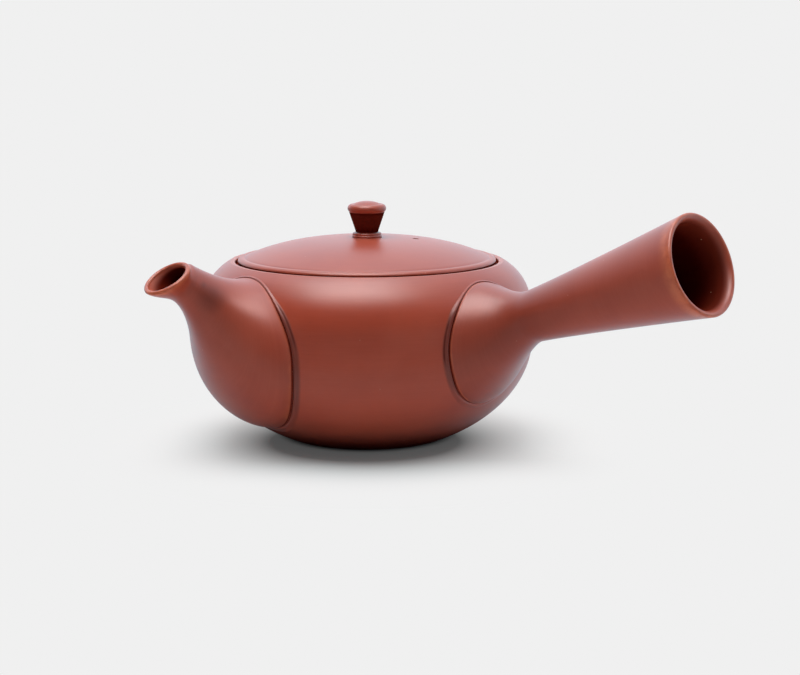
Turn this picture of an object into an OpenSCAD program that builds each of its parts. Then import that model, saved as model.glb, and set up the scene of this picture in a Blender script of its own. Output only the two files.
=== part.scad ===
// Side-handled teapot of unglazed red clay. A thrown body carries a luted spout and a luted hollow handle,
// with a pierced strainer dome inside the spout opening and a drop-in lid with a flange and a knob.
// Millimetres, +Z up, +X along the handle, origin at the middle of the foot on the table.

/* [Body] */
// Greatest outer radius of the body
body_r = 58; // [52:0.5:66]
// Height of the greatest radius above the table
belly_z = 35; // [31:0.5:40]
// Radius of the flat foot
foot_r = 28; // [22:0.5:36]
// Radius of the hollow under the foot
hollow_r = 21; // [14:0.5:21]
// Depth of the hollow under the foot
hollow_d = 0.7; // [0.4:0.1:1.2]
// Height of the mouth edge
rim_z = 61.6; // [58:0.2:68]
// Fullness of the shoulder curve, where 2 is an ellipse
shoulder_power = 3.5; // [2.5:0.1:4.5]
// Thickness of the wall
wall = 3; // [2.4:0.1:4]
// Thickness of the floor
floor_t = 3.6; // [2.8:0.1:5]
// Width of the lip outside the lid
lip_w = 1.7; // [1.2:0.1:2.4]
// Rounding of the lip's inner edge
lip_round = 0.8; // [0.4:0.1:1]
// Depth of the ledge that the lid sits on, below the mouth edge
seat_drop = 1.3; // [1:0.1:2]
// Height of the throat below the ledge
throat_h = 4.5; // [3:0.1:6]
// Fall of the throat's underside towards the wall
throat_fall = 3; // [1:0.1:5]

/* [Lid] */
// Radius of the lid
lid_r = 45; // [40:0.5:48]
// Gap between the lid's edge and the lip
lid_gap = 0.9; // [0.5:0.1:1.5]
// Gap between the lid's underside and the ledge
seat_gap = 0.1; // [0.05:0.05:0.3]
// Thickness of the lid's rolled edge
lid_edge = 2.6; // [2.2:0.1:3.6]
// Width of the rolled edge
lid_roll_w = 2.7; // [2.2:0.1:4]
// Depth of the dip just inside the rolled edge
lid_dip = 0.1; // [0.05:0.05:0.6]
// Rise of the dome above the dip
lid_rise = 6.5; // [5:0.05:9]
// Thickness of the dome
lid_t = 3.4; // [2.8:0.1:4]
// Reach of the lid past its flange
lid_overhang = 3.8; // [3:0.1:5]
// Thickness of the flange
flange_t = 2.6; // [2:0.1:3.5]
// Height of the flange
flange_h = 9; // [6:0.2:12]
// Gap between the flange and the throat
flange_gap = 0.3; // [0.2:0.05:0.6]
// Radius of the steam vent
vent_r = 1.15; // [0.8:0.05:1.6]
// Distance of the steam vent from the lid's axis
vent_x = 17; // [12:0.5:26]
// Plan angle of the steam vent
vent_turn = 40; // [0:1:359]

/* [Knob] */
// Radius of the collar under the knob
collar_r = 5.2; // [4.6:0.1:7]
// Height of the collar above the lid
collar_h = 1.6; // [1.2:0.1:2.4]
// Radius at the knob's foot
knob_foot_r = 3.85; // [3.2:0.05:4.4]
// Radius at the top of the knob's cone
knob_cone_r = 6.1; // [5:0.1:7]
// Height of the knob's cone
knob_cone_h = 7.1; // [5:0.1:9]
// Greatest radius of the knob
knob_r = 6.7; // [6.2:0.1:8]
// Rounding of the knob's brim
knob_round = 1.5; // [1:0.05:1.8]
// Rise of the knob's crown above its brim
knob_crown = 2.5; // [1.8:0.05:3.6]
// Radius of the tenon under the knob
tenon_r = 2.2; // [1.6:0.1:2.6]
// Depth of the tenon in the lid
tenon_d = 1.6; // [1:0.1:2]

/* [Spout] */
// Plan angle from the handle round to the spout
spout_turn = 96; // [85:1:110]
// Height of the base's lowest point above the table
spout_low = 8.4; // [6:0.2:12]
// Drop of the base's highest point below the mouth edge
spout_drop = 2; // [1.4:0.1:5]
// Half width of the base
spout_half = 24.8; // [20:0.2:27]
// Height of the base's edge above the body
spout_edge = 0.8; // [0.5:0.1:1.8]
// Swell of the bell outwards at its sides
spout_swell = 10.2; // [7:0.1:13]
// Swell at the top of the bell
spout_swell_top = 4.7; // [3:0.1:6]
// Swell at the bottom of the bell
spout_swell_low = 19; // [15:0.5:21]
// Draw of the bell towards its middle, as a share of the base
spout_draw = 0.9; // [0.8:0.01:0.96]
// Reach of the neck past the body
spout_neck_x = 19.3; // [16:0.1:24]
// Rise of the mouth's middle above the mouth edge of the body
spout_rise = 0.6; // [-2:0.1:4]
// Radius of the neck
spout_neck_r = 6.3; // [5.6:0.1:7.2]
// Slope of the neck
spout_slope = 29; // [22:1:38]
// Length of the straight run into the neck
spout_run = 13.4; // [10:0.1:16]
// Reach of the mouth past the neck
spout_mouth_x = 5.7; // [4.5:0.1:8]
// Rise of the mouth above the neck
spout_mouth_z = 1.5; // [0.8:0.1:3]
// Radius of the mouth
spout_mouth_r = 8.2; // [7.4:0.1:9]
// Slope of the mouth's axis
spout_mouth_slope = 57; // [48:1:64]
// Width of the rounded lip
spout_lip = 2.1; // [1.6:0.1:2.6]
// Thickness of the wall at the neck
spout_wall = 1.8; // [1.4:0.1:2.6]

/* [Strainer] */
// Radius of the opening in the body wall
port_r = 13; // [10:0.5:15]
// Rise of the opening above the middle of the spout's base
port_rise = 2; // [0:0.5:4]
// Radius of the strainer where it meets the wall
strainer_r = 17; // [15.5:0.5:20]
// Rise of the strainer's dome into the body
strainer_rise = 9; // [7:0.5:12]
// Thickness of the strainer
strainer_t = 1.6; // [1.2:0.1:2.2]
// Diameter of a hole
pore_d = 1.6; // [1:0.1:2]
// Spacing of the holes along the dome
pore_pitch = 3.3; // [2.8:0.1:5]
// Number of rings of holes
pore_rings = 4; // [2:1:4]

/* [Handle] */
// Height of the base's lowest point above the table
handle_low = 18.1; // [15:0.2:22]
// Drop of the base's highest point below the mouth edge
handle_drop = 3.1; // [2:0.1:6]
// Half width of the base
handle_half = 18.8; // [15:0.2:20]
// Height of the base's edge above the body
handle_edge = 0.8; // [0.5:0.1:1.8]
// Swell of the bell outwards at its sides and its bottom
handle_swell = 3.8; // [2:0.2:6]
// Swell at the top of the bell
handle_swell_top = 4.4; // [3:0.1:6]
// Draw of the bell towards its middle, as a share of the base
handle_draw = 0.86; // [0.74:0.01:0.95]
// Reach of the neck past the body
handle_neck_x = 16.9; // [15:0.1:22]
// Rise of the neck above the middle of the base
handle_neck_z = 11.4; // [8:0.1:13]
// Radius of the neck
handle_neck_r = 8.5; // [7.5:0.1:10]
// Slope of the handle
handle_slope = 19.4; // [14:0.2:24]
// Length of the straight run into the neck
handle_run = 7.8; // [5:0.1:9]
// Length from the neck to the open end
handle_l = 65.5; // [50:0.5:85]
// Radius of the open end
handle_end_r = 16; // [13:0.2:18]
// Flare of the handle, where 1 is a straight cone
handle_flare = 1.14; // [1:0.02:1.6]
// Thickness of the handle's wall
handle_wall = 2.5; // [2:0.1:3]
// Radius of the hollow where the handle meets the body
handle_root_r = 11; // [8:0.5:13]

/* [Luting] */
// Gap of set slip between luted pieces
slip = 0.1; // [0.06:0.01:0.16]
// Width of the tooled coil round a joint
coil_w = 2.2; // [1.4:0.1:3]
// Height of the tooled coil above the body
coil_h = 0.6; // [0.4:0.05:1]
// Crease left between the coil and the edge of the joint
coil_gap = 0.3; // [0.2:0.05:0.6]

/* [Hidden] */
$fn = 96;
clay = [0.56, 0.26, 0.2];
dark_clay = [0.42, 0.18, 0.13];
past = 20;

// Counts of points along the curves and round the rings
steps = 18;
sides = 48;
round_steps = 8;
bell_steps = 12;
hollow_steps = 8;
horn_steps = 5;
grip_steps = 10;
face_steps = 5;
lip_steps = 5;
coil_steps = 6;

// Heights and radii of the body and the lid
seat_z = rim_z - seat_drop;
lid_z = seat_z + seat_gap;
seat_r = lid_r + lid_gap;
rim_r = seat_r + lip_w;
flange_r = lid_r - lid_overhang;
flange_in_r = flange_r - flange_t;
throat_r = flange_r + flange_gap;
throat_z = seat_z - throat_h;
gallery_z = throat_z - throat_fall;
low_h = belly_z / sqrt(1 - pow(foot_r / body_r, 2));
high_h = (rim_z - belly_z) / pow(1 - pow(rim_r / body_r, shoulder_power), 1 / shoulder_power);

// The lid's dome is a cap of a large sphere
dome_r = lid_r - lid_roll_w;
dome_z = lid_z + lid_edge - lid_dip;
dome_curve = (pow(dome_r, 2) + pow(lid_rise, 2)) / (2 * lid_rise);
apex_z = dome_z + lid_rise;
under_r = flange_in_r - slip;

// Knob
collar_z = apex_z + collar_h;
brim_z = collar_z + knob_cone_h + knob_round;

// Places on the spout, as distance from the body's axis and height
spout_h = (rim_z - spout_drop - spout_low) / 2;
spout_z = spout_low + spout_h;
spout_mouth = [body_r + spout_neck_x + spout_mouth_x, rim_z + spout_rise];
spout_neck = spout_mouth - [spout_mouth_x, spout_mouth_z];
spout_root_r = port_r + wall;

// Places on the handle
handle_h = (rim_z - handle_drop - handle_low) / 2;
handle_z = handle_low + handle_h;
handle_neck = [body_r + handle_neck_x, handle_z + handle_neck_z];
handle_end = handle_neck + handle_l * [cos(handle_slope), sin(handle_slope)];

// Strainer
port_z = spout_z + port_rise;
strainer_curve = (pow(strainer_r, 2) + pow(strainer_rise, 2)) / (2 * strainer_rise);
strainer_x = body_radius(port_z, -wall) - strainer_rise + strainer_curve;

// Radius of the body at a height, on a surface that stands proud of it by grow
function body_radius(z, grow = 0) =
    z < belly_z
        ? (body_r + grow) * sqrt(max(0, 1 - pow((belly_z - z) / (low_h + grow), 2)))
        : (body_r + grow)
            * pow(max(0, 1 - pow((z - belly_z) / (high_h + grow), shoulder_power)), 1 / shoulder_power);

// Point on that surface, at a side distance and a height: [outwards, sideways, up]
function on_body(side, z, grow) =
    [sqrt(max(0, pow(body_radius(z, grow), 2) - side * side)), side, z];

// Point of a ring round a sloping axis
function ring_point(centre, slope, r, a) =
    [centre.x - r * sin(a) * sin(slope), r * cos(a), centre.y + r * sin(a) * cos(slope)];

function along(slope) = [cos(slope), 0, sin(slope)];

function mix(a, b, t) = a * (1 - t) + b * t;

function bezier(p, t) =
    pow(1 - t, 3) * p[0] + 3 * t * pow(1 - t, 2) * p[1] + 3 * t * t * (1 - t) * p[2] + pow(t, 3) * p[3];

// Point of the lid's dome above the table at a radius
function dome(r) = apex_z - dome_curve + sqrt(pow(dome_curve, 2) - r * r);

// Inner outline of the body from the floor's edge up to the throat, drawn in by inset
function cavity(inset = 0) =
    let (
        w = wall + inset,
        floor_z = floor_t + inset,
        floor_a = asin((belly_z - floor_z) / (low_h - w))
    )
    concat(
        [[0, floor_z]],
        [for (i = [0 : steps])
            let (a = floor_a * (1 - i / steps))
            [(body_r - w) * cos(a), belly_z - (low_h - w) * sin(a)]],
        [for (i = [1 : steps])
            let (z = mix(belly_z, gallery_z, i / steps))
            [body_radius(z, -w), z]]
    );

// Outer outline of the body from the foot up to the mouth edge
function skin() =
    let (foot_a = asin(belly_z / low_h))
    concat(
        [for (i = [0 : steps])
            let (a = foot_a * (1 - i / steps))
            [body_r * cos(a), belly_z - low_h * sin(a)]],
        [for (i = [1 : steps])
            let (z = mix(belly_z, rim_z, sin(90 * i / steps)))
            [body_radius(z), z]]
    );

// Arc of points round a centre
function arc(centre, r, from, to, count) =
    [for (i = [0 : count])
        let (a = mix(from, to, i / count))
        centre + r * [cos(a), sin(a)]];

// Points of a bell from its base on the body, t = 0, to its neck, t = 1. half is [sideways, up], and
// swell is [at the sides, at the top, at the bottom].
function bell(a, t, half, mid_z, edge, swell, draw, neck, slope, neck_r, run) =
    let (
        base = [half.x * cos(a), half.y * sin(a)],
        drawn = mix(draw, 1, pow(max(0, sin(a)), 2)) * base,
        tip = ring_point(neck, slope, neck_r, a),
        lift = [edge + mix(swell[0], sin(a) > 0 ? swell[1] : swell[2], pow(sin(a), 2)), 0, 0]
    )
    bezier([
        on_body(base.x, mid_z + base.y, edge),
        on_body(drawn.x, mid_z + drawn.y, 0) + lift,
        tip - run * along(slope),
        tip
    ], t);

// Points of the short horn from the spout's neck to its mouth
function horn(a, t, neck_r, mouth_r) =
    let (
        tip = ring_point(spout_neck, spout_slope, neck_r, a),
        edge = ring_point(spout_mouth, spout_mouth_slope, mouth_r, a),
        middle = [spout_mouth.x, 0, spout_mouth.y],
        out = along(spout_mouth_slope) + (edge - middle) / (2 * mouth_r)
    )
    bezier([tip, tip + spout_mouth_x / 2 * along(spout_slope), edge - spout_mouth_x / 2 * out, edge], t);

// Points of the flared grip from the handle's neck to its open end
function grip(a, t, inset) =
    ring_point(
        mix(handle_neck, handle_end, t), handle_slope,
        mix(handle_neck_r, handle_end_r, pow(t, handle_flare)) - inset, a
    );

// Points of a half-round lip of width w on a ring, from its outside, b = 0, to its inside, b = 180
function lip(a, b, centre, slope, r, w) =
    ring_point(centre, slope, r - w / 2 + w / 2 * cos(b), a) + w / 2 * sin(b) * along(slope);

// Rings of the face that is luted to the body, from the hollow out to the edge
function luted_face(root, half, mid_z) =
    [for (i = [0 : face_steps])
        [for (k = [0 : sides - 1])
            let (a = 360 * k / sides, size = mix(root, half, i / face_steps))
            on_body(size.x * cos(a), mid_z + size.y * sin(a), slip)]];

// Closed ring-shaped skin: each list in rings is one ring, and the last meets the first
module closed_loft(rings) {
    count = len(rings);
    around = len(rings[0]);
    polyhedron(
        points = [for (ring = rings) each ring],
        faces = [for (i = [0 : count - 1], k = [0 : around - 1])
            let (
                a = i * around + k,
                b = i * around + (k + 1) % around,
                c = (i + 1) % count * around + (k + 1) % around,
                d = (i + 1) % count * around + k
            )
            each [[a, c, b], [a, d, c]]],
        convexity = 6
    );
}

// Half-round coil laid on the body round a joint's edge
module luting_coil(half, mid_z) {
    closed_loft([for (k = [0 : sides - 1])
        let (a = 360 * k / sides)
        [for (j = [0 : coil_steps + 1])
            let (
                under = j > coil_steps,
                b = 180 * min(j, coil_steps) / coil_steps,
                reach = under ? coil_w / 2 : coil_w / 2 * (1 - cos(b)),
                size = half + (coil_gap + reach) * [1, 1],
                proud = under ? slip : slip + coil_h * sin(b)
            )
            on_body(size.x * cos(a), mid_z + size.y * sin(a), proud)]]);
}

module body_shell() {
    lip_arc = arc([seat_r + lip_round, rim_z - lip_round], lip_round, 90, 180, round_steps);
    inside = cavity();
    color(clay)
    difference() {
        rotate_extrude()
            polygon(concat(
                [[0, hollow_d], [hollow_r - hollow_d, hollow_d], [hollow_r, 0]],
                skin(),
                lip_arc,
                [[seat_r, seat_z], [throat_r, seat_z], [throat_r, throat_z]],
                [for (i = [len(inside) - 1 : -1 : 0]) inside[i]]
            ));
        rotate([0, 0, -spout_turn])
            translate([body_r / 2, 0, port_z])
                rotate([0, 90, 0])
                    cylinder(r = port_r, h = body_r);
    }
}

module spout() {
    half = [spout_half, spout_h];
    root = [spout_root_r, spout_root_r];
    swell = [spout_swell, spout_swell_top, spout_swell_low];
    neck_in_r = spout_neck_r - spout_wall;
    mouth_in_r = spout_mouth_r - spout_lip;
    angles = [for (k = [0 : sides - 1]) 360 * k / sides];
    outer_bell = [for (i = [0 : bell_steps]) [for (a = angles)
        bell(a, i / bell_steps, half, spout_z, spout_edge, swell, spout_draw,
            spout_neck, spout_slope, spout_neck_r, spout_run)]];
    outer_horn = [for (i = [1 : horn_steps]) [for (a = angles)
        horn(a, i / horn_steps, spout_neck_r, spout_mouth_r)]];
    mouth_lip = [for (j = [1 : lip_steps - 1]) [for (a = angles)
        lip(a, 180 * j / lip_steps, spout_mouth, spout_mouth_slope, spout_mouth_r, spout_lip)]];
    inner_horn = [for (i = [horn_steps : -1 : 1]) [for (a = angles)
        horn(a, i / horn_steps, neck_in_r, mouth_in_r)]];
    inner_bell = [for (i = [hollow_steps : -1 : 1]) [for (a = angles)
        bell(a, i / hollow_steps, root, spout_z, slip, swell / 2, spout_draw,
            spout_neck, spout_slope, neck_in_r, spout_run)]];
    color(clay)
    rotate([0, 0, -spout_turn])
        closed_loft(concat(
            luted_face(root, half, spout_z), outer_bell, outer_horn, mouth_lip, inner_horn, inner_bell
        ));
}

module spout_luting_coil() {
    color(clay)
    rotate([0, 0, -spout_turn])
        luting_coil([spout_half, spout_h], spout_z);
}

module strainer() {
    color(dark_clay)
    rotate([0, 0, -spout_turn])
        difference() {
            intersection() {
                rotate_extrude()
                    polygon(concat(cavity(slip), [[0, gallery_z]]));
                translate([strainer_x, 0, port_z])
                    difference() {
                        sphere(r = strainer_curve);
                        sphere(r = strainer_curve - strainer_t);
                    }
            }
            translate([strainer_x, 0, port_z])
                for (ring = [0 : pore_rings], k = [0 : max(0, 6 * ring - 1)])
                    rotate([360 * k / max(1, 6 * ring), 0, 0])
                        rotate([0, -90 + ring * pore_pitch / strainer_curve * 180 / PI, 0])
                            translate([0, 0, strainer_curve - 2 * strainer_t])
                                cylinder(d = pore_d, h = 3 * strainer_t, $fn = 24);
        }
}

module handle() {
    half = [handle_half, handle_h];
    root = [handle_root_r, handle_root_r];
    swell = [handle_swell, handle_swell_top, handle_swell];
    neck_in_r = handle_neck_r - handle_wall;
    angles = [for (k = [0 : sides - 1]) 360 * k / sides];
    outer_bell = [for (i = [0 : bell_steps]) [for (a = angles)
        bell(a, i / bell_steps, half, handle_z, handle_edge, swell, handle_draw,
            handle_neck, handle_slope, handle_neck_r, handle_run)]];
    outer_grip = [for (i = [1 : grip_steps]) [for (a = angles) grip(a, i / grip_steps, 0)]];
    end_lip = [for (j = [1 : lip_steps - 1]) [for (a = angles)
        lip(a, 180 * j / lip_steps, handle_end, handle_slope, handle_end_r, handle_wall)]];
    inner_grip = [for (i = [grip_steps : -1 : 1]) [for (a = angles)
        grip(a, i / grip_steps, handle_wall)]];
    inner_bell = [for (i = [hollow_steps : -1 : 1]) [for (a = angles)
        bell(a, i / hollow_steps, root, handle_z, slip, swell / 2, handle_draw,
            handle_neck, handle_slope, neck_in_r, handle_run)]];
    color(clay)
        closed_loft(concat(
            luted_face(root, half, handle_z), outer_bell, outer_grip, end_lip, inner_grip, inner_bell
        ));
}

module handle_luting_coil() {
    color(clay)
        luting_coil([handle_half, handle_h], handle_z);
}

module lid_flange() {
    round_r = flange_t / 2;
    color(clay)
    rotate_extrude()
        polygon(concat(
            [[flange_in_r, lid_z]],
            arc([flange_r - round_r, lid_z - flange_h + round_r], round_r, 180, 360, round_steps),
            [[flange_r, lid_z]]
        ));
}

module lid_dome() {
    roll = lid_edge / 2;
    color(clay)
    difference() {
        rotate_extrude()
            polygon(concat(
                [for (i = [0 : round_steps])
                    let (r = under_r * i / round_steps)
                    [r, dome(r) - lid_t]],
                [[under_r, lid_z]],
                arc([lid_r - roll, lid_z + roll], roll, -90, 90, round_steps),
                [for (i = [steps : -1 : 0])
                    let (r = dome_r * i / steps)
                    [r, dome(r)]]
            ));
        translate([0, 0, apex_z - tenon_d - slip])
            cylinder(r = tenon_r + slip, h = past);
        rotate([0, 0, vent_turn])
            translate([vent_x, 0, lid_z])
                cylinder(r = vent_r, h = past);
    }
}

module knob_collar() {
    bore_r = tenon_r + slip;
    round_r = collar_h / 2;
    collar_foot_a = -60;
    color(clay)
    rotate_extrude()
        polygon(concat(
            [for (i = [0 : round_steps])
                let (r = mix(bore_r, collar_r - round_r, i / round_steps))
                [r, dome(r)]],
            arc([collar_r - round_r, collar_z - round_r], round_r, collar_foot_a, 90, round_steps),
            [[bore_r, collar_z]]
        ));
}

module knob() {
    crown_r = knob_r - knob_round;
    brim_low_a = -52;
    brim_high_a = 70;
    color(clay)
    rotate_extrude()
        polygon(concat(
            [[0, apex_z - tenon_d], [tenon_r, apex_z - tenon_d], [tenon_r, collar_z]],
            [[knob_foot_r, collar_z], [knob_cone_r, collar_z + knob_cone_h]],
            arc([crown_r, brim_z], knob_round, brim_low_a, brim_high_a, round_steps),
            [for (i = [round_steps : -1 : 0])
                let (t = i / round_steps)
                [crown_r * t, brim_z + knob_round + (knob_crown - knob_round) * (1 - t * t)]]
        ));
}

body_shell();
spout();
spout_luting_coil();
strainer();
handle();
handle_luting_coil();
lid_flange();
lid_dome();
knob_collar();
knob();
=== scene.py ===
"""Dress a side-handled teapot of unglazed red clay for its studio picture.

Sizes are in millimetres, as on the part's drawing, and each mesh is scaled to metres as it is made. A spot
beside a luted joint is given as (outwards, sideways, up), with the body's axis at outwards = 0.
"""

from __future__ import annotations

import logging
import math
from dataclasses import dataclass, field
from enum import Enum
from functools import cached_property
from typing import Any, Callable, Iterable, Mapping, Sequence, Union

import bmesh
import bpy
from mathutils import Matrix, Vector

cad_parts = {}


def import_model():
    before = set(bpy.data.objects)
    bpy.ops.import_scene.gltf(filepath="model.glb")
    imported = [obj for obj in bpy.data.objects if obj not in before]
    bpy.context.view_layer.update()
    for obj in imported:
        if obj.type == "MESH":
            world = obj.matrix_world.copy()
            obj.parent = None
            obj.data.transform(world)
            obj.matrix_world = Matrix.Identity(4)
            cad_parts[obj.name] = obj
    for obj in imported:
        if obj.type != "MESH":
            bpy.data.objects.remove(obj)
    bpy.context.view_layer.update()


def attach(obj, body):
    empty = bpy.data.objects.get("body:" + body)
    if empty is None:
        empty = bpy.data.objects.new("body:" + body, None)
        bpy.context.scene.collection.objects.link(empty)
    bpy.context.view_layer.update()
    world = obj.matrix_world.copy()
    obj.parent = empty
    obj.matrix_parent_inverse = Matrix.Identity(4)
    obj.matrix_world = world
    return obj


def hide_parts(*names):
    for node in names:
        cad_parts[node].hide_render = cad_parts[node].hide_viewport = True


LOG = logging.getLogger("teapot")
MM = 0.001
PRINCIPLED = "ShaderNodeBsdfPrincipled"
Colour = tuple[float, float, float]
Spot = tuple[float, float]
Band = tuple[float, float]
Operand = Union["Tap", float]
WHITE: Colour = (1.0, 1.0, 1.0)
UP = Vector((0.0, 0.0, 1.0))


class Carrier(Enum):
    """Bodies that the pieces ride on."""

    POT = "pot"
    LID_RING = "lid_ring"
    LID = "lid"


class ClaySlot(Enum):
    """Material slots of the record."""

    BURNISHED = "burnished_clay"
    STRAINER = "strainer_clay"


class Trait(Enum):
    """Point attributes of a clay mesh that its finish reads."""

    TRAVEL = "travel"
    WORN = "worn"
    # dark slip, and painted shade on the handle and spout necks
    IRON = "iron"
    INSIDE = "inside"
    # painted shade: creases, hollows, under the knob's brim and at the foot
    CREASE = "crease"
    # painted light, a bright band and a lift on the body
    FLUSH = "flush"


Wear = Mapping[Trait, float]


def mix(a: Any, b: Any, t: float) -> Any:
    """Blend two numbers or vectors, from a at t = 0 to b at t = 1."""
    return a * (1.0 - t) + b * t


def ease(low: float, high: float, value: float) -> float:
    """Rise smoothly from 0 at a low value to 1 at a high one."""
    t = min(1.0, max(0.0, (value - low) / (high - low)))
    return t * t * (3.0 - 2.0 * t)


def shares(count: int) -> list[float]:
    """List the shares of a way in equal steps, from 0 to 1."""
    return [i / count for i in range(count + 1)]


def bend(start: Vector, corner: Vector, end: Vector, t: float) -> Vector:
    """Walk round a corner, from its start at t = 0 to its end at t = 1."""
    return mix(mix(start, corner, t), mix(corner, end, t), t)


def bezier(spots: Sequence[Vector], t: float) -> Vector:
    """Walk along a cubic curve of four control points, from t = 0 to t = 1."""
    s = 1.0 - t
    return s**3 * spots[0] + 3 * s * s * t * spots[1] + 3 * s * t * t * spots[2] + t**3 * spots[3]


def arc(centre: Spot, radius: float, turn: Band, count: int) -> list[Spot]:
    """Walk round a circle in equal steps between two angles in degrees, both ends included."""
    angles = [math.radians(mix(*turn, t)) for t in shares(count)]
    return [(centre[0] + radius * math.cos(a), centre[1] + radius * math.sin(a)) for a in angles]


def spin(turn: float) -> Matrix:
    """Turn clockwise about the body's axis, by an angle in degrees."""
    return Matrix.Rotation(math.radians(-turn), 3, "Z")


def around(r: float, turn: float, z: float) -> Vector:
    """Find a spot from its radius, its angle in degrees and its height."""
    return Vector((r * math.cos(math.radians(turn)), r * math.sin(math.radians(turn)), z))


def along(slope: float) -> Vector:
    """Give the outward direction that climbs by a slope in degrees."""
    return Vector((math.cos(math.radians(slope)), 0.0, math.sin(math.radians(slope))))


def ring_spot(centre: Vector, slope: float, r: float, a: float) -> Vector:
    """Find a spot on a ring round a sloping axis.

    Args:
        centre: Middle of the ring.
        slope: Slope of the axis in degrees.
        r: Radius.
        a: Angle round the ring, where a quarter turn is up.

    Returns:
        The spot.
    """
    lean = math.radians(slope)
    rise = r * math.sin(a)
    return centre + Vector((-rise * math.sin(lean), r * math.cos(a), rise * math.cos(lean)))


def gather(rows: Sequence[Wear]) -> dict[Trait, list[float]]:
    """Sort the traits of many points by trait, where a trait that isn't named is 0."""
    return {trait: [row.get(trait, 0.0) for row in rows] for trait in Trait}


def opaque(colour: Colour) -> tuple[float, float, float, float]:
    """Give a colour its alpha."""
    return (*colour, 1.0)


class Tap:
    """An output socket that takes part in sums, each of which adds a Math node."""

    def __init__(self, bench: NodeBench, socket: bpy.types.NodeSocket) -> None:
        """Hold a socket and the bench that its tree is built on."""
        self.bench = bench
        self.socket = socket

    def _sum(self, operation: str, left: Operand, right: Operand) -> Tap:
        """Add one Math node with its operation and its two values."""
        return self.bench.add("ShaderNodeMath", {"operation": operation}, {0: left, 1: right})

    def __add__(self, other: Operand) -> Tap:
        """Add two values."""
        return self._sum("ADD", self, other)

    def __sub__(self, other: Operand) -> Tap:
        """Take a value from this one."""
        return self._sum("SUBTRACT", self, other)

    def __rsub__(self, other: Operand) -> Tap:
        """Take this value from a number."""
        return self._sum("SUBTRACT", other, self)

    def __mul__(self, other: Operand) -> Tap:
        """Multiply two values."""
        return self._sum("MULTIPLY", self, other)

    def __truediv__(self, other: Operand) -> Tap:
        """Divide this value."""
        return self._sum("DIVIDE", self, other)

    def __rtruediv__(self, other: Operand) -> Tap:
        """Divide a number by this value."""
        return self._sum("DIVIDE", other, self)

    def __floordiv__(self, other: Operand) -> Tap:
        """Divide this value and drop the remainder."""
        return self._sum("FLOOR", self / other, 0.0)

    def __mod__(self, other: Operand) -> Tap:
        """Give the remainder of a division."""
        return self._sum("MODULO", self, other)

    __radd__ = __add__
    __rmul__ = __mul__

    def most(self, other: Operand) -> Tap:
        """Give the larger of two values."""
        return self._sum("MAXIMUM", self, other)

    def ease(self, low: float, high: float) -> Tap:
        """Rise smoothly from 0 at a low value to 1 at a high one."""
        sockets = {"Value": self, "From Min": low, "From Max": high}
        return self.bench.add("ShaderNodeMapRange", {"interpolation_type": "SMOOTHSTEP"}, sockets)


class NodeBench:
    """Builds one node tree, of a material, the world or a mesh."""

    def __init__(self, tree: bpy.types.NodeTree) -> None:
        """Hold the tree and clear it."""
        self.tree = tree
        tree.nodes.clear()

    def node(
        self,
        kind: str,
        settings: Mapping[str, Any] | None = None,
        sockets: Mapping[str | int, Any] | None = None,
    ) -> bpy.types.Node:
        """Add any node.

        Args:
            kind: The node's type.
            settings: Its properties, set before its sockets.
            sockets: Values or taps for its inputs, by name or place.

        Returns:
            The new node.
        """
        made = self.tree.nodes.new(kind)
        for name, value in (settings or {}).items():
            setattr(made, name, value)
        for name, value in (sockets or {}).items():
            if isinstance(value, Tap):
                self.tree.links.new(value.socket, made.inputs[name])
            else:
                made.inputs[name].default_value = value
        return made

    def add(
        self,
        kind: str,
        settings: Mapping[str, Any] | None = None,
        sockets: Mapping[str | int, Any] | None = None,
        output: str | int = 0,
    ) -> Tap:
        """Add a node and tap one of its outputs, by name or place."""
        return Tap(self, self.node(kind, settings, sockets).outputs[output])

    def tint(self, share: Operand, a: Tap | Colour, b: Colour) -> Tap:
        """Blend two colours.

        Args:
            share: Share of the second colour.
            a: First colour.
            b: Second colour.

        Returns:
            The blended colour.
        """
        first = a if isinstance(a, Tap) else opaque(a)
        settings = {"data_type": "RGBA", "clamp_factor": True}
        return self.add("ShaderNodeMix", settings, {0: share, 6: first, 7: opaque(b)}, 2)

    def noise(self, vector: Tap, scale: float, detail: float, roughness: float = 0.55) -> Tap:
        """Add soft noise about 0.5, from its clouds in a unit of length and its octaves."""
        sockets = {"Vector": vector, "Scale": scale, "Detail": detail, "Roughness": roughness}
        return self.add("ShaderNodeTexNoise", None, sockets)

    def distance(self, vector: Tap, spot: Sequence[float] = (0.0, 0.0, 0.0)) -> Tap:
        """Measure how far a vector lies from a spot."""
        sockets = {0: vector, 1: tuple(spot)}
        return self.add("ShaderNodeVectorMath", {"operation": "DISTANCE"}, sockets, "Value")

    def dot(self, vector: Tap, way: Vector) -> Tap:
        """Measure a vector along a direction."""
        sockets = {0: vector, 1: tuple(way)}
        return self.add("ShaderNodeVectorMath", {"operation": "DOT_PRODUCT"}, sockets, "Value")

    def rays(self) -> list[Tap]:
        """Tell camera, mirrored and transmitted rays apart."""
        path = self.node("ShaderNodeLightPath")
        return [Tap(self, path.outputs[f"Is {kind} Ray"]) for kind in ("Camera", "Glossy", "Transmission")]


def new_material(name: str) -> tuple[bpy.types.Material, NodeBench]:
    """Start a material.

    Args:
        name: Its name.

    Returns:
        The material and the bench of its empty tree.
    """
    made = bpy.data.materials.new(name)
    made.use_nodes = True
    return made, NodeBench(made.node_tree)


@dataclass(frozen=True)
class Stain:
    """A dark smudge that the fire left on the clay."""

    spot: tuple[float, float, float]
    reach: float
    depth: float


@dataclass(frozen=True)
class ClayMaps:
    """What the finish reads at a spot of the clay."""

    bench: NodeBench
    place: Tap
    marks: Mapping[Trait, Tap]
    cloud: Tap
    streak: Tap
    nick: Tap


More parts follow.
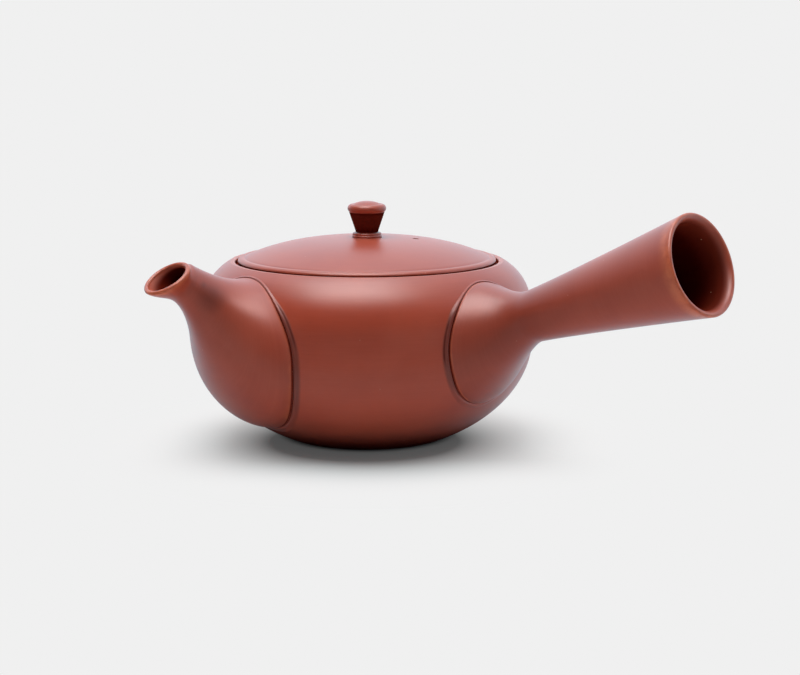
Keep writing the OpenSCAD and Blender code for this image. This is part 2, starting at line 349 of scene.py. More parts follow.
@dataclass(frozen=True)
class ClayFinish:
    """Unglazed red clay, burnished to a satin, with rubbed edges, dark slip and a raw inside, and with
    painted light and painted shade.
    """

    name: str
    light: Colour = (0.440, 0.071, 0.034)
    deep: Colour = (0.370, 0.048, 0.019)
    rubbed: Colour = (0.62, 0.135, 0.052)
    # colour of the dark slip, which also carries painted shade on the handle and spout
    slip: Colour = (0.165, 0.034, 0.023)
    raw: Colour = (0.33, 0.055, 0.030)
    # colour of the painted light
    painted_light_colour: Colour = (0.60, 0.072, 0.022)
    # colour of the painted shade
    shade: Colour = (0.070, 0.003, 0.0008)
    nick: Colour = (0.62, 0.30, 0.20)
    fleck: Colour = (0.12, 0.030, 0.024)
    satin: float = 0.385
    satin_cloud: float = 0.08
    satin_streak: float = 0.048
    slip_and_shade_shine: float = 0.32
    raw_rough: float = 0.92
    ior: float = 1.55
    cloud_scale: float = 34.0
    cloud_band: Band = (0.32, 0.68)
    cloud_share: float = 0.75
    streak_fine: float = 2.1
    streak_drift: float = 60.0
    streak_band: Band = (0.3, 0.7)
    grain_scale: float = 2600.0
    nick_scale: float = 260.0
    nick_sparse: float = 0.86
    nick_share: float = 0.30
    nick_raw: float = 0.5
    fleck_scale: float = 442.0
    fleck_sparse: float = 0.80
    fleck_share: float = 0.55
    speck_band: Band = (0.03, 0.075)
    speck_step: float = 0.02
    wear_scale: float = 210.0
    wear_band: Band = (0.40, 0.60)
    wear_even: float = 0.45
    wear_patchy: float = 0.4
    raw_share: float = 0.85
    slip_and_shade_share: float = 0.92
    relief: float = 0.000012
    streak_height: float = 0.55
    grain_height: float = 0.18
    grain_raw: float = 1.6
    nick_depth: float = 1.2
    stains: tuple[Stain, ...] = (Stain((0.9, -72.0, 56.2), 7.0, 0.7), Stain((-0.8, -73.9, 60.2), 1.8, 0.6))

    def material(self) -> bpy.types.Material:
        """Build the finish, polished outside and dull where it is raw or where shade is painted.

        Returns:
            The material.
        """
        made, bench = new_material(self.name)
        place = bench.add("ShaderNodeTexCoord", None, None, "Object")
        marks = {t: bench.add("ShaderNodeAttribute", {"attribute_name": t.value}, None, "Fac") for t in Trait}
        cloud = bench.noise(place, self.cloud_scale, detail=4.0)
        streak = self._streaks(bench, place, marks[Trait.TRAVEL])
        nick = self._specks(bench, place, self.nick_scale, self.nick_sparse)
        maps = ClayMaps(bench, place, marks, cloud, streak, nick)
        # where shade is painted the clay is also left without gloss
        dull = marks[Trait.INSIDE].most(marks[Trait.CREASE])
        skin = {"Base Color": self._colour(maps), "Normal": self._relief(maps)}
        gloss = {"Roughness": self._roughness(maps, dull), "IOR": self.ior}
        matt = {"Roughness": self.raw_rough, "Specular IOR Level": 0.0}
        polished = bench.add(PRINCIPLED, None, {**skin, **gloss})
        unpolished = bench.add(PRINCIPLED, None, {**skin, **matt})
        clay = bench.add("ShaderNodeMixShader", None, {0: dull, 1: polished, 2: unpolished})
        bench.node("ShaderNodeOutputMaterial", None, {"Surface": clay})
        return made

    def _colour(self, maps: ClayMaps) -> Tap:
        """Lay the clay's colours over each other, painted light and painted shade among them.

        Args:
            maps: What is read at the spot.

        Returns:
            The colour.
        """
        bench, marks = maps.bench, maps.marks
        tone = maps.cloud.ease(*self.cloud_band) * self.cloud_share
        tone = tone + maps.streak.ease(*self.streak_band) * (1.0 - self.cloud_share)
        patch = bench.noise(maps.place, self.wear_scale, detail=3.0).ease(*self.wear_band)
        fleck = self._specks(bench, maps.place, self.fleck_scale, self.fleck_sparse)
        layers = [
            # painted light
            (marks[Trait.FLUSH], self.painted_light_colour),
            (marks[Trait.WORN] * (self.wear_even + patch * self.wear_patchy), self.rubbed),
            (marks[Trait.INSIDE] * self.raw_share, self.raw),
            *((self._smudge(maps, stain), self.slip) for stain in self.stains),
            # dark slip and painted shade
            (marks[Trait.IRON] * self.slip_and_shade_share, self.slip),
            # painted shade
            (marks[Trait.CREASE], self.shade),
            (fleck * self.fleck_share, self.fleck),
            (maps.nick * (self.nick_share + marks[Trait.INSIDE] * self.nick_raw), self.nick),
        ]
        colour = bench.tint(tone, self.deep, self.light)
        for share, layer in layers:
            colour = bench.tint(share, colour, layer)
        return colour

    def _roughness(self, maps: ClayMaps, dull: Tap) -> Tap:
        """Let the satin swing with clouds and streaks, shine on the dark slip and its painted shade, and fade
        where the clay is dull.

        Args:
            maps: What is read at the spot.
            dull: How dull the clay is there.

        Returns:
            The roughness.
        """
        satin = self.satin + (maps.cloud - 0.5) * self.satin_cloud + (maps.streak - 0.5) * self.satin_streak
        satin = satin + maps.marks[Trait.IRON] * (self.slip_and_shade_shine - self.satin)
        return satin + dull * (self.raw_rough - self.satin)

    def _relief(self, maps: ClayMaps) -> Tap:
        """Raise burnishing streaks and grain, and sink the nicks.

        Args:
            maps: What is read at the spot.

        Returns:
            The bent normal.
        """
        inside = maps.marks[Trait.INSIDE]
        grain = maps.bench.noise(maps.place, self.grain_scale, detail=2.0)
        height = maps.streak * self.streak_height + grain * (self.grain_height + inside * self.grain_raw)
        height = height - maps.nick * self.nick_depth + inside * maps.cloud
        sockets = {"Strength": 1.0, "Distance": self.relief, "Height": height}
        return maps.bench.add("ShaderNodeBump", None, sockets)

    def _streaks(self, bench: NodeBench, place: Tap, travel: Tap) -> Tap:
        """Draw the burnishing streaks, which run round a piece.

        Args:
            bench: Bench of the material.
            place: Coordinates.
            travel: Distance walked along the piece's section.

        Returns:
            The streaks, about 0.5.
        """
        level = [bench.add("ShaderNodeSeparateXYZ", None, {0: place}, i) for i in range(2)]
        drift = [value * self.streak_drift for value in level]
        sockets = dict(enumerate([travel * self.streak_fine, *drift]))
        return bench.noise(bench.add("ShaderNodeCombineXYZ", None, sockets), 1.0, detail=3.0)

    def _specks(self, bench: NodeBench, place: Tap, scale: float, sparse: float) -> Tap:
        """Scatter small round specks.

        Args:
            bench: Bench of the material.
            place: Coordinates.
            scale: Cells in a metre.
            sparse: Share of the cells that stay bare.

        Returns:
            1 on a speck and 0 elsewhere.
        """
        cell = bench.node("ShaderNodeTexVoronoi", None, {"Vector": place, "Scale": scale})
        near = 1.0 - Tap(bench, cell.outputs["Distance"]).ease(*self.speck_band)
        choice = bench.add("ShaderNodeSeparateColor", None, {0: Tap(bench, cell.outputs["Color"])})
        return near * choice.ease(sparse, sparse + self.speck_step)

    @staticmethod
    def _smudge(maps: ClayMaps, stain: Stain) -> Tap:
        """Give a stain's depth at a spot."""
        spread = maps.bench.distance(maps.place, [value * MM for value in stain.spot])
        return (1.0 - spread.ease(0.0, stain.reach * MM)) * stain.depth


@dataclass(frozen=True)
class Stop:
    """One corner of a half section, with the rounding and the clay's traits there."""

    r: float
    z: float
    reach: float
    traits: Wear

    @property
    def spot(self) -> Vector:
        """The corner in the plane of X and Z."""
        return Vector((self.r, 0.0, self.z))


@dataclass
class Section:
    """Half section of a thrown piece, walked from its underside over the outside and back."""

    stops: list[Stop] = field(default_factory=list)
    traits: dict[Trait, float] = field(default_factory=dict)
    bend_steps: int = 6
    bend_share: float = 0.48
    least: float = 1e-4

    def wear(
        self,
        worn: float = 0.0,
        iron: float = 0.0,
        inside: float = 0.0,
        crease: float = 0.0,
        flush: float = 0.0,
    ) -> Section:
        """Set the clay's traits for what follows.

        Args:
            worn: How far rubbing has bared the edge.
            iron: How much dark slip and painted shade lie there.
            inside: How raw the surface is.
            crease: How much painted shade darkens it, in creases, hollows and other shaded spots.
            flush: How much painted light brightens it.

        Returns:
            This section.
        """
        marks = (Trait.WORN, Trait.IRON, Trait.INSIDE, Trait.CREASE, Trait.FLUSH)
        self.traits = dict(zip(marks, (worn, iron, inside, crease, flush)))
        return self

    def to(self, r: float, z: float, reach: float = 0.0) -> Section:
        """Walk to a corner.

        Args:
            r: Its radius.
            z: Its height.
            reach: Distance from the corner at which its rounding starts.

        Returns:
            This section.
        """
        if not self.stops or math.hypot(r - self.stops[-1].r, z - self.stops[-1].z) > self.least:
            self.stops.append(Stop(r, z, reach, dict(self.traits)))
        return self

    def run(self, spots: Iterable[Spot]) -> Section:
        """Walk along many points, each a radius and a height."""
        for r, z in spots:
            self.to(r, z)
        return self

    def _corner(self, i: int) -> list[Vector]:
        """Round one corner.

        Args:
            i: Its number.

        Returns:
            The points of its rounding, or the corner alone where it is sharp or an end.
        """
        stop = self.stops[i]
        here = stop.spot
        if not stop.reach or i in (0, len(self.stops) - 1):
            return [here]
        back = self.stops[i - 1].spot - here
        on = self.stops[i + 1].spot - here
        start = here + back * min(self.bend_share, stop.reach / back.length)
        end = here + on * min(self.bend_share, stop.reach / on.length)
        return [bend(start, here, end, t) for t in shares(self.bend_steps)]

    def points(self) -> tuple[list[Vector], dict[Trait, list[float]]]:
        """Round the corners.

        Returns:
            The points, in the plane of X and Z, and each trait's values there.
        """
        spots: list[Vector] = []
        rows: list[Wear] = []
        travel = 0.0
        for i, stop in enumerate(self.stops):
            for spot in self._corner(i):
                travel += (spot - spots[-1]).length if spots else 0.0
                spots.append(spot)
                rows.append({**stop.traits, Trait.TRAVEL: travel})
        return spots, gather(rows)


class Workshop:
    """Turns sections and rings into finished meshes, with the wheel and the drill as geometry node trees."""

    segments: int = 208
    weld: float = 2e-7
    crease: float = math.radians(38.0)

    def __init__(self) -> None:
        """Build the two trees."""
        self.wheel = self._wheel_tree()
        self.drill = self._drill_tree()

    @staticmethod
    def _new_tree(name: str, inputs: Mapping[str, str]) -> tuple[NodeBench, dict[str, Tap]]:
        """Start a geometry node tree.

        Args:
            name: The tree's name.
            inputs: Socket types by name, after the geometry.

        Returns:
            The tree's bench and its inputs by name.
        """
        tree = bpy.data.node_groups.new(name, "GeometryNodeTree")
        bench = NodeBench(tree)
        for label, kind in {"Clay": "Geometry", **inputs}.items():
            tree.interface.new_socket(label, in_out="INPUT", socket_type="NodeSocket" + kind)
        tree.interface.new_socket("Clay", in_out="OUTPUT", socket_type="NodeSocketGeometry")
        given = bench.node("NodeGroupInput")
        return bench, {label: Tap(bench, given.outputs[label]) for label in ("Clay", *inputs)}

    @staticmethod
    def _close_tree(bench: NodeBench, clay: Tap, finish: Tap) -> bpy.types.NodeTree:
        """End a tree with plain smooth geometry in its finish.

        Args:
            bench: Bench of the tree.
            clay: The geometry.
            finish: The material.

        Returns:
            The tree.
        """
        clay = bench.add("GeometryNodeSetShadeSmooth", None, {"Geometry": clay})
        clay = bench.add("GeometryNodeRealizeInstances", None, {"Geometry": clay})
        clay = bench.add("GeometryNodeSetMaterial", None, {"Geometry": clay, "Material": finish})
        bench.node("NodeGroupOutput", None, {0: clay})
        return bench.tree

    def _wheel_tree(self) -> bpy.types.NodeTree:
        """Build the potter's wheel, which turns a row of points about the Z axis.

        Returns:
            The tree.
        """
        bench, given = self._new_tree("potters_wheel", {"Segments": "Int", "Finish": "Material"})
        row, segments = given["Clay"], given["Segments"]
        count = bench.add("GeometryNodeAttributeDomainSize", None, {0: row})
        sheet = bench.add("GeometryNodeMeshGrid", None, {"Vertices X": segments + 1.0, "Vertices Y": count})
        index = bench.add("GeometryNodeInputIndex")
        place = bench.add("GeometryNodeInputPosition")
        settings = {"data_type": "FLOAT_VECTOR", "domain": "POINT"}
        spot = bench.add("GeometryNodeSampleIndex", settings, {0: row, 1: place, 2: index % count})
        turn = index // count / segments * math.tau
        sockets = {"Vector": spot, "Angle": turn}
        spot = bench.add("ShaderNodeVectorRotate", {"rotation_type": "Z_AXIS"}, sockets)
        clay = bench.add("GeometryNodeSetPosition", None, {"Geometry": sheet, "Position": spot})
        settings = {"data_type": "FLOAT", "domain": "POINT"}
        for trait in Trait:
            label = {"Name": trait.value}
            value = bench.add("GeometryNodeInputNamedAttribute", {"data_type": "FLOAT"}, label)
            value = bench.add("GeometryNodeSampleIndex", settings, {0: row, 1: value, 2: index % count})
            sockets = {"Geometry": clay, "Name": trait.value, "Value": value}
            clay = bench.add("GeometryNodeStoreNamedAttribute", settings, sockets)
        clay = bench.add("GeometryNodeMergeByDistance", None, {"Geometry": clay, "Distance": self.weld})
        return self._close_tree(bench, clay, given["Finish"])

    def _drill_tree(self) -> bpy.types.NodeTree:
        """Build the drill, which bores a round hole along each marked point's facing.

        Returns:
            The tree.
        """
        sizes = {"Radius": "Float", "Depth": "Float", "Sides": "Int"}
        bench, given = self._new_tree("drill", {"Marks": "Object", **sizes, "Finish": "Material"})
        marks = bench.add("GeometryNodeObjectInfo", None, {"Object": given["Marks"]}, "Geometry")
        settings = {"data_type": "FLOAT_VECTOR"}
        facing = bench.add("GeometryNodeInputNamedAttribute", settings, {"Name": "facing"})
        turn = bench.add("FunctionNodeAlignRotationToVector", {"axis": "Z"}, {"Vector": facing})
        sockets = {"Vertices": given["Sides"], "Radius": given["Radius"], "Depth": given["Depth"]}
        bit = bench.add("GeometryNodeMeshCylinder", None, sockets)
        sockets = {"Points": marks, "Instance": bit, "Rotation": turn}
        bits = bench.add("GeometryNodeInstanceOnPoints", None, sockets)
        bits = bench.add("GeometryNodeRealizeInstances", None, {"Geometry": bits})
        settings = {"operation": "DIFFERENCE", "solver": "MANIFOLD"}
        clay = bench.add("GeometryNodeMeshBoolean", settings, {0: given["Clay"], 1: bits})
        return self._close_tree(bench, clay, given["Finish"])

    @staticmethod
    def _object(name: str, spots: Sequence[Vector], faces: Sequence[Sequence[int]]) -> bpy.types.Object:
        """Make a mesh object.

        Args:
            name: Its name.
            spots: Its points in millimetres.
            faces: Point numbers of each face.

        Returns:
            The object, linked to the scene.
        """
        mesh = bpy.data.meshes.new(name)
        mesh.from_pydata([spot * MM for spot in spots], [], faces)
        obj = bpy.data.objects.new(name, mesh)
        bpy.context.scene.collection.objects.link(obj)
        return obj

    @staticmethod
    def _mark(mesh: bpy.types.Mesh, values: Mapping[Trait, Sequence[float]]) -> None:
        """Write the clay's traits on a mesh.

        Args:
            mesh: The mesh.
            values: Each trait's value at each point.
        """
        for trait, row in values.items():
            layer = mesh.attributes.new(trait.value, "FLOAT", "POINT")
            layer.data.foreach_set("value", row)

    @staticmethod
    def _apply(
        obj: bpy.types.Object, tree: bpy.types.NodeTree, inputs: Mapping[str, Any]
    ) -> bpy.types.Object:
        """Run a tree on an object and keep the result as its mesh.

        Args:
            obj: The object.
            tree: The tree.
            inputs: Values of the tree's inputs by name.

        Returns:
            The same object.
        """
        modifier = obj.modifiers.new(tree.name, "NODES")
        modifier.node_group = tree
        for item in tree.interface.items_tree:
            if item.in_out == "INPUT" and item.name in inputs:
                modifier[item.identifier] = inputs[item.name]
        obj.update_tag()
        graph = bpy.context.evaluated_depsgraph_get()
        graph.update()
        shaped = obj.evaluated_get(graph)
        mesh = bpy.data.meshes.new_from_object(shaped, preserve_all_data_layers=True, depsgraph=graph)
        obj.modifiers.remove(modifier)
        spent = obj.data
        obj.data = mesh
        bpy.data.meshes.remove(spent)
        mesh.name = obj.name
        return obj

    def finish(self, obj: bpy.types.Object) -> bpy.types.Object:
        """Weld a mesh, turn its faces outwards and shade it.

        Args:
            obj: The object.

        Returns:
            The same object.
        """
        work = bmesh.new()
        work.from_mesh(obj.data)
        bmesh.ops.remove_doubles(work, verts=work.verts, dist=self.weld)
        bmesh.ops.dissolve_degenerate(work, edges=work.edges, dist=self.weld)
        bmesh.ops.recalc_face_normals(work, faces=work.faces)
        work.to_mesh(obj.data)
        work.free()
        obj.data.shade_smooth()
        obj.data.set_sharp_from_angle(angle=self.crease)
        return obj

    def throw(self, name: str, section: Section, clay: bpy.types.Material) -> bpy.types.Object:
        """Turn a section on the wheel.

        Args:
            name: The piece's name.
            section: Its half section.
            clay: Its finish.

        Returns:
            The piece.
        """
        spots, values = section.points()
        obj = self._object(name, spots, [])
        self._mark(obj.data, values)
        return self._apply(obj, self.wheel, {"Segments": self.segments, "Finish": clay})

    def bore(
        self,
        obj: bpy.types.Object,
        marks: Sequence[tuple[Vector, Vector]],
        radius: float,
        depth: float,
        sides: int,
        clay: bpy.types.Material,
    ) -> bpy.types.Object:
        """Bore round holes in a piece.

        Args:
            obj: The piece.
            marks: Middle and facing of each hole.
            radius: Radius of the holes.
            depth: Length of the drill.
            sides: Sides of the drill.
            clay: The piece's finish.

        Returns:
            The same piece.
        """
        self.finish(obj)
        punch = self._object(obj.name + "_marks", [spot for spot, _ in marks], [])
        layer = punch.data.attributes.new("facing", "FLOAT_VECTOR", "POINT")
        layer.data.foreach_set("vector", [c for _, facing in marks for c in facing])
        sizes = {"Radius": radius * MM, "Depth": depth * MM, "Sides": sides}
        self._apply(obj, self.drill, {"Marks": punch, **sizes, "Finish": clay})
        spent = punch.data
        bpy.data.objects.remove(punch)
        bpy.data.meshes.remove(spent)
        return self.finish(obj)

    def loft(
        self,
        name: str,
        rings: Sequence[Sequence[Vector]],
        rows: Sequence[Wear],
        clay: bpy.types.Material,
        joined: bool = True,
    ) -> bpy.types.Object:
        """Skin closed rings.

        Args:
            name: The piece's name.
            rings: The rings' points, all of one number.
            rows: The traits of each point, ring by ring.
            clay: The piece's finish.
            joined: Whether the last ring meets the first.

        Returns:
            The piece.
        """
        around = len(rings[0])
        count = len(rings)
        faces = []
        for i in range(count if joined else count - 1):
            here, on = i * around, (i + 1) % count * around
            for k in range(around):
                nxt = (k + 1) % around
                faces.append((here + k, here + nxt, on + nxt, on + k))
        obj = self._object(name, [spot for ring in rings for spot in ring], faces)
        self._mark(obj.data, gather(rows))
        obj.data.materials.append(clay)
        return self.finish(obj)


class SubAssembly:
    """A part of the pot that is built and dressed by itself."""

    def build(self, shop: Workshop, clay: bpy.types.Material) -> list[bpy.types.Object]:
        """Build and dress the pieces.

        Args:
            shop: The workshop.
            clay: The finish.

        Returns:
            The pieces.
        """
        raise NotImplementedError

    @staticmethod
    def settle(obj: bpy.types.Object, carrier: Carrier, slot: ClaySlot, node: str) -> bpy.types.Object:
        """Let a piece stand for its node and ride on its body.

        Args:
            obj: The piece.
            carrier: The body.
            slot: The material slot; not used.
            node: The node.

        Returns:
            The same piece.
        """
        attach(obj, carrier.value)
        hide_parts(node)
        return obj


@dataclass
class ThrownBody(SubAssembly):
    """The thrown body, with its foot, shoulder, mouth, ledge for the lid and tea space."""

    radius: float = 58.0
    belly: float = 35.0
    foot: float = 28.0
    foot_inset: float = 0.3
    foot_round: float = 0.6
    hollow: float = 21.0
    hollow_depth: float = 0.7
    hollow_slope: float = 2.2
    hollow_round: float = 0.8
    rim_z: float = 61.6
    shoulder_power: float = 3.5
    wall: float = 3.0
    floor: float = 3.6
    lip_width: float = 1.7
    lip_outer_round: float = 0.7
    lip_round: float = 0.8
    seat_drop: float = 1.3
    seat_radius: float = 45.9
    seat_round: float = 0.25
    throat: float = 41.5
    throat_height: float = 4.5
    throat_fall: float = 3.0
    throat_top_round: float = 0.35
    throat_round: float = 0.6
    port_radius: float = 13.0
    port_z: float = 36.0
    port_drill: float = 40.6
    port_sides: int = 72
    spout_turn: float = 96.0
    ring_pitch: float = 3.4
    ring_depth: float = 0.10
    ring_fade: float = 5.0
    swirl_fade: float = 6.0
    # painted light: a bright band below the shoulder, and a lift over the lower wall and belly
    flush: float = 0.3
    painted_light_from: Band = (42.5, 50.0)
    painted_light_to: Band = (52.0, 57.0)
    painted_lower_light: float = 0.2
    painted_lower_light_from: Band = (10.0, 22.0)
    painted_lower_light_to: Band = (30.0, 50.0)
    # painted shade: darker towards the foot, where it meets the floor
    painted_foot_shade: float = 0.9
    painted_foot_shade_to: Band = (0.3, 11.0)
    steps: int = 64

    @property
    def low_reach(self) -> float:
        """Half height of the lower half's ellipse."""
        return self.belly / math.sqrt(1.0 - (self.foot / self.radius) ** 2)

    @property
    def high_reach(self) -> float:
        """Half height of the shoulder's curve."""
        rim = (self.seat_radius + self.lip_width) / self.radius
        return (self.rim_z - self.belly) / (1.0 - rim**self.shoulder_power) ** (1.0 / self.shoulder_power)

    def radius_at(self, z: float, proud: float = 0.0) -> float:
        """Measure the body.

        Args:
            z: Height.
            proud: How far a surface stands out from the skin.

        Returns:
            That surface's radius there.
        """
        if z < self.belly:
            share = (self.belly - z) / (self.low_reach + proud)
            return (self.radius + proud) * math.sqrt(max(0.0, 1.0 - share * share))
        share = (z - self.belly) / (self.high_reach + proud)
        power = self.shoulder_power
        return (self.radius + proud) * max(0.0, 1.0 - share**power) ** (1.0 / power)

    def on_skin(self, side: float, z: float, proud: float) -> Vector:
        """Find a spot beside a joint, on a surface that stands out from the skin."""
        r = self.radius_at(z, proud)
        return Vector((math.sqrt(max(0.0, r * r - side * side)), side, z))

    def section(self) -> Section:
        """Draw the half section.

        Returns:
            The section, from the middle of the foot to the middle of the floor.
        """
        seat = self.rim_z - self.seat_drop
        throat_z = seat - self.throat_height
        cut = Section()
        cut.wear(inside=0.7).to(0.0, self.hollow_depth)
        cut.to(self.hollow - self.hollow_slope, self.hollow_depth, self.hollow_round)
        cut.wear(worn=0.3, inside=0.5).to(self.hollow, 0.0, self.foot_round)
        # painted shade where the foot meets the floor
        cut.wear(inside=0.5, crease=self.painted_foot_shade).to(self.foot - self.foot_inset, 0.0, self.foot_round)
        self._outer_wall(cut)
        cut.wear(worn=0.35).to(self.seat_radius + self.lip_width, self.rim_z, self.lip_outer_round)
        cut.wear(worn=0.5).to(self.seat_radius, self.rim_z, self.lip_round)
        # painted shade in the seat under the lid's edge
        cut.wear(crease=0.9).to(self.seat_radius, seat, self.seat_round)
        cut.wear(inside=0.7).to(self.throat, seat, self.throat_top_round)
        cut.to(self.throat, throat_z, self.throat_round)
        self._inner_wall(cut, throat_z - self.throat_fall)
        return cut

    def _outer_wall(self, cut: Section) -> None:
        """Walk up the outside, with painted shade darker towards the foot, painted light over the lower wall
        and belly, and a band of painted light below the shoulder.

        Args:
            cut: The section.
        """
        start = math.asin(self.belly / self.low_reach)
        for t in shares(self.steps)[1:]:
            a = start * (1.0 - t)
            z = self.belly - self.low_reach * math.sin(a)
            # painted light over the lower wall
            painted_lower_light = self.painted_lower_light * ease(*self.painted_lower_light_from, z)
            # painted shade, darker towards the foot
            painted_foot_shade = self.painted_foot_shade * (1.0 - ease(*self.painted_foot_shade_to, z))
            cut.wear(flush=painted_lower_light, crease=painted_foot_shade).to(self.radius * math.cos(a), z)
        for t in shares(self.steps)[1:-1]:
            z = mix(self.belly, self.rim_z, math.sin(math.pi / 2.0 * t))
            # painted light: a band below the shoulder, over the lift on the wall
            flush = self.flush * ease(*self.painted_light_from, z) * (1.0 - ease(*self.painted_light_to, z))
            painted_lower_light = self.painted_lower_light * (1.0 - ease(*self.painted_lower_light_to, z))
            cut.wear(flush=flush + painted_lower_light).to(self.radius_at(z), z)

    def _inner_wall(self, cut: Section, top: float) -> None:
        """Walk down the inside and over the floor, with throwing rings.

        Args:
            cut: The section.
            top: Height below the throat at which the wall starts.
        """
        low = self.low_reach - self.wall
        floor_a = math.asin((self.belly - self.floor) / low)
        cut.wear(inside=1.0)
        for t in shares(self.steps):
            z = mix(top, self.belly, t)
            cut.to(self._ringed(z, self.radius_at(z, -self.wall)), z)
        for t in shares(self.steps)[1:]:
            z = self.belly - low * math.sin(floor_a * t)
            cut.to(self._ringed(z, (self.radius - self.wall) * math.cos(floor_a * t)), z)
        edge = cut.stops[-1].r
        for t in shares(self.steps // 2)[1:]:
            r = edge * (1.0 - t)
            swirl = self.ring_depth * math.sin(math.tau * r / self.ring_pitch) * ease(0.0, self.swirl_fade, r)
            cut.to(r, self.floor + swirl * ease(0.0, self.ring_fade, edge - r))

    def _ringed(self, z: float, r: float) -> float:
        """Lay throwing rings on the inner wall.

        Args:
            z: Height.
            r: Radius of the plain wall.

        Returns:
            Radius of the ringed wall.
        """
        top = self.rim_z - self.seat_drop - self.throat_height
        fade = ease(0.0, self.ring_fade, z - self.floor) * ease(0.0, self.ring_fade, top - z)
        return r - self.ring_depth * fade * (1.0 + math.sin(math.tau * z / self.ring_pitch))

    def build(self, shop: Workshop, clay: bpy.types.Material) -> list[bpy.types.Object]:
        """Throw the body and bore the port behind the spout.

        Args:
            shop: The workshop.
            clay: The finish.

        Returns:
            The body.
        """
        obj = shop.throw("thrown_body", self.section(), clay)
        facing = around(1.0, -self.spout_turn, 0.0)
        middle = facing * self.radius + UP * self.port_z
        shop.bore(obj, [(middle, facing)], self.port_radius, self.port_drill, self.port_sides, clay)
        return [self.settle(obj, Carrier.POT, ClaySlot.BURNISHED, "body_shell")]


@dataclass(frozen=True)
class Ring:
    """One ring of a branch, with the clay's traits on it."""

    spots: Sequence[Vector]
    traits: Wear


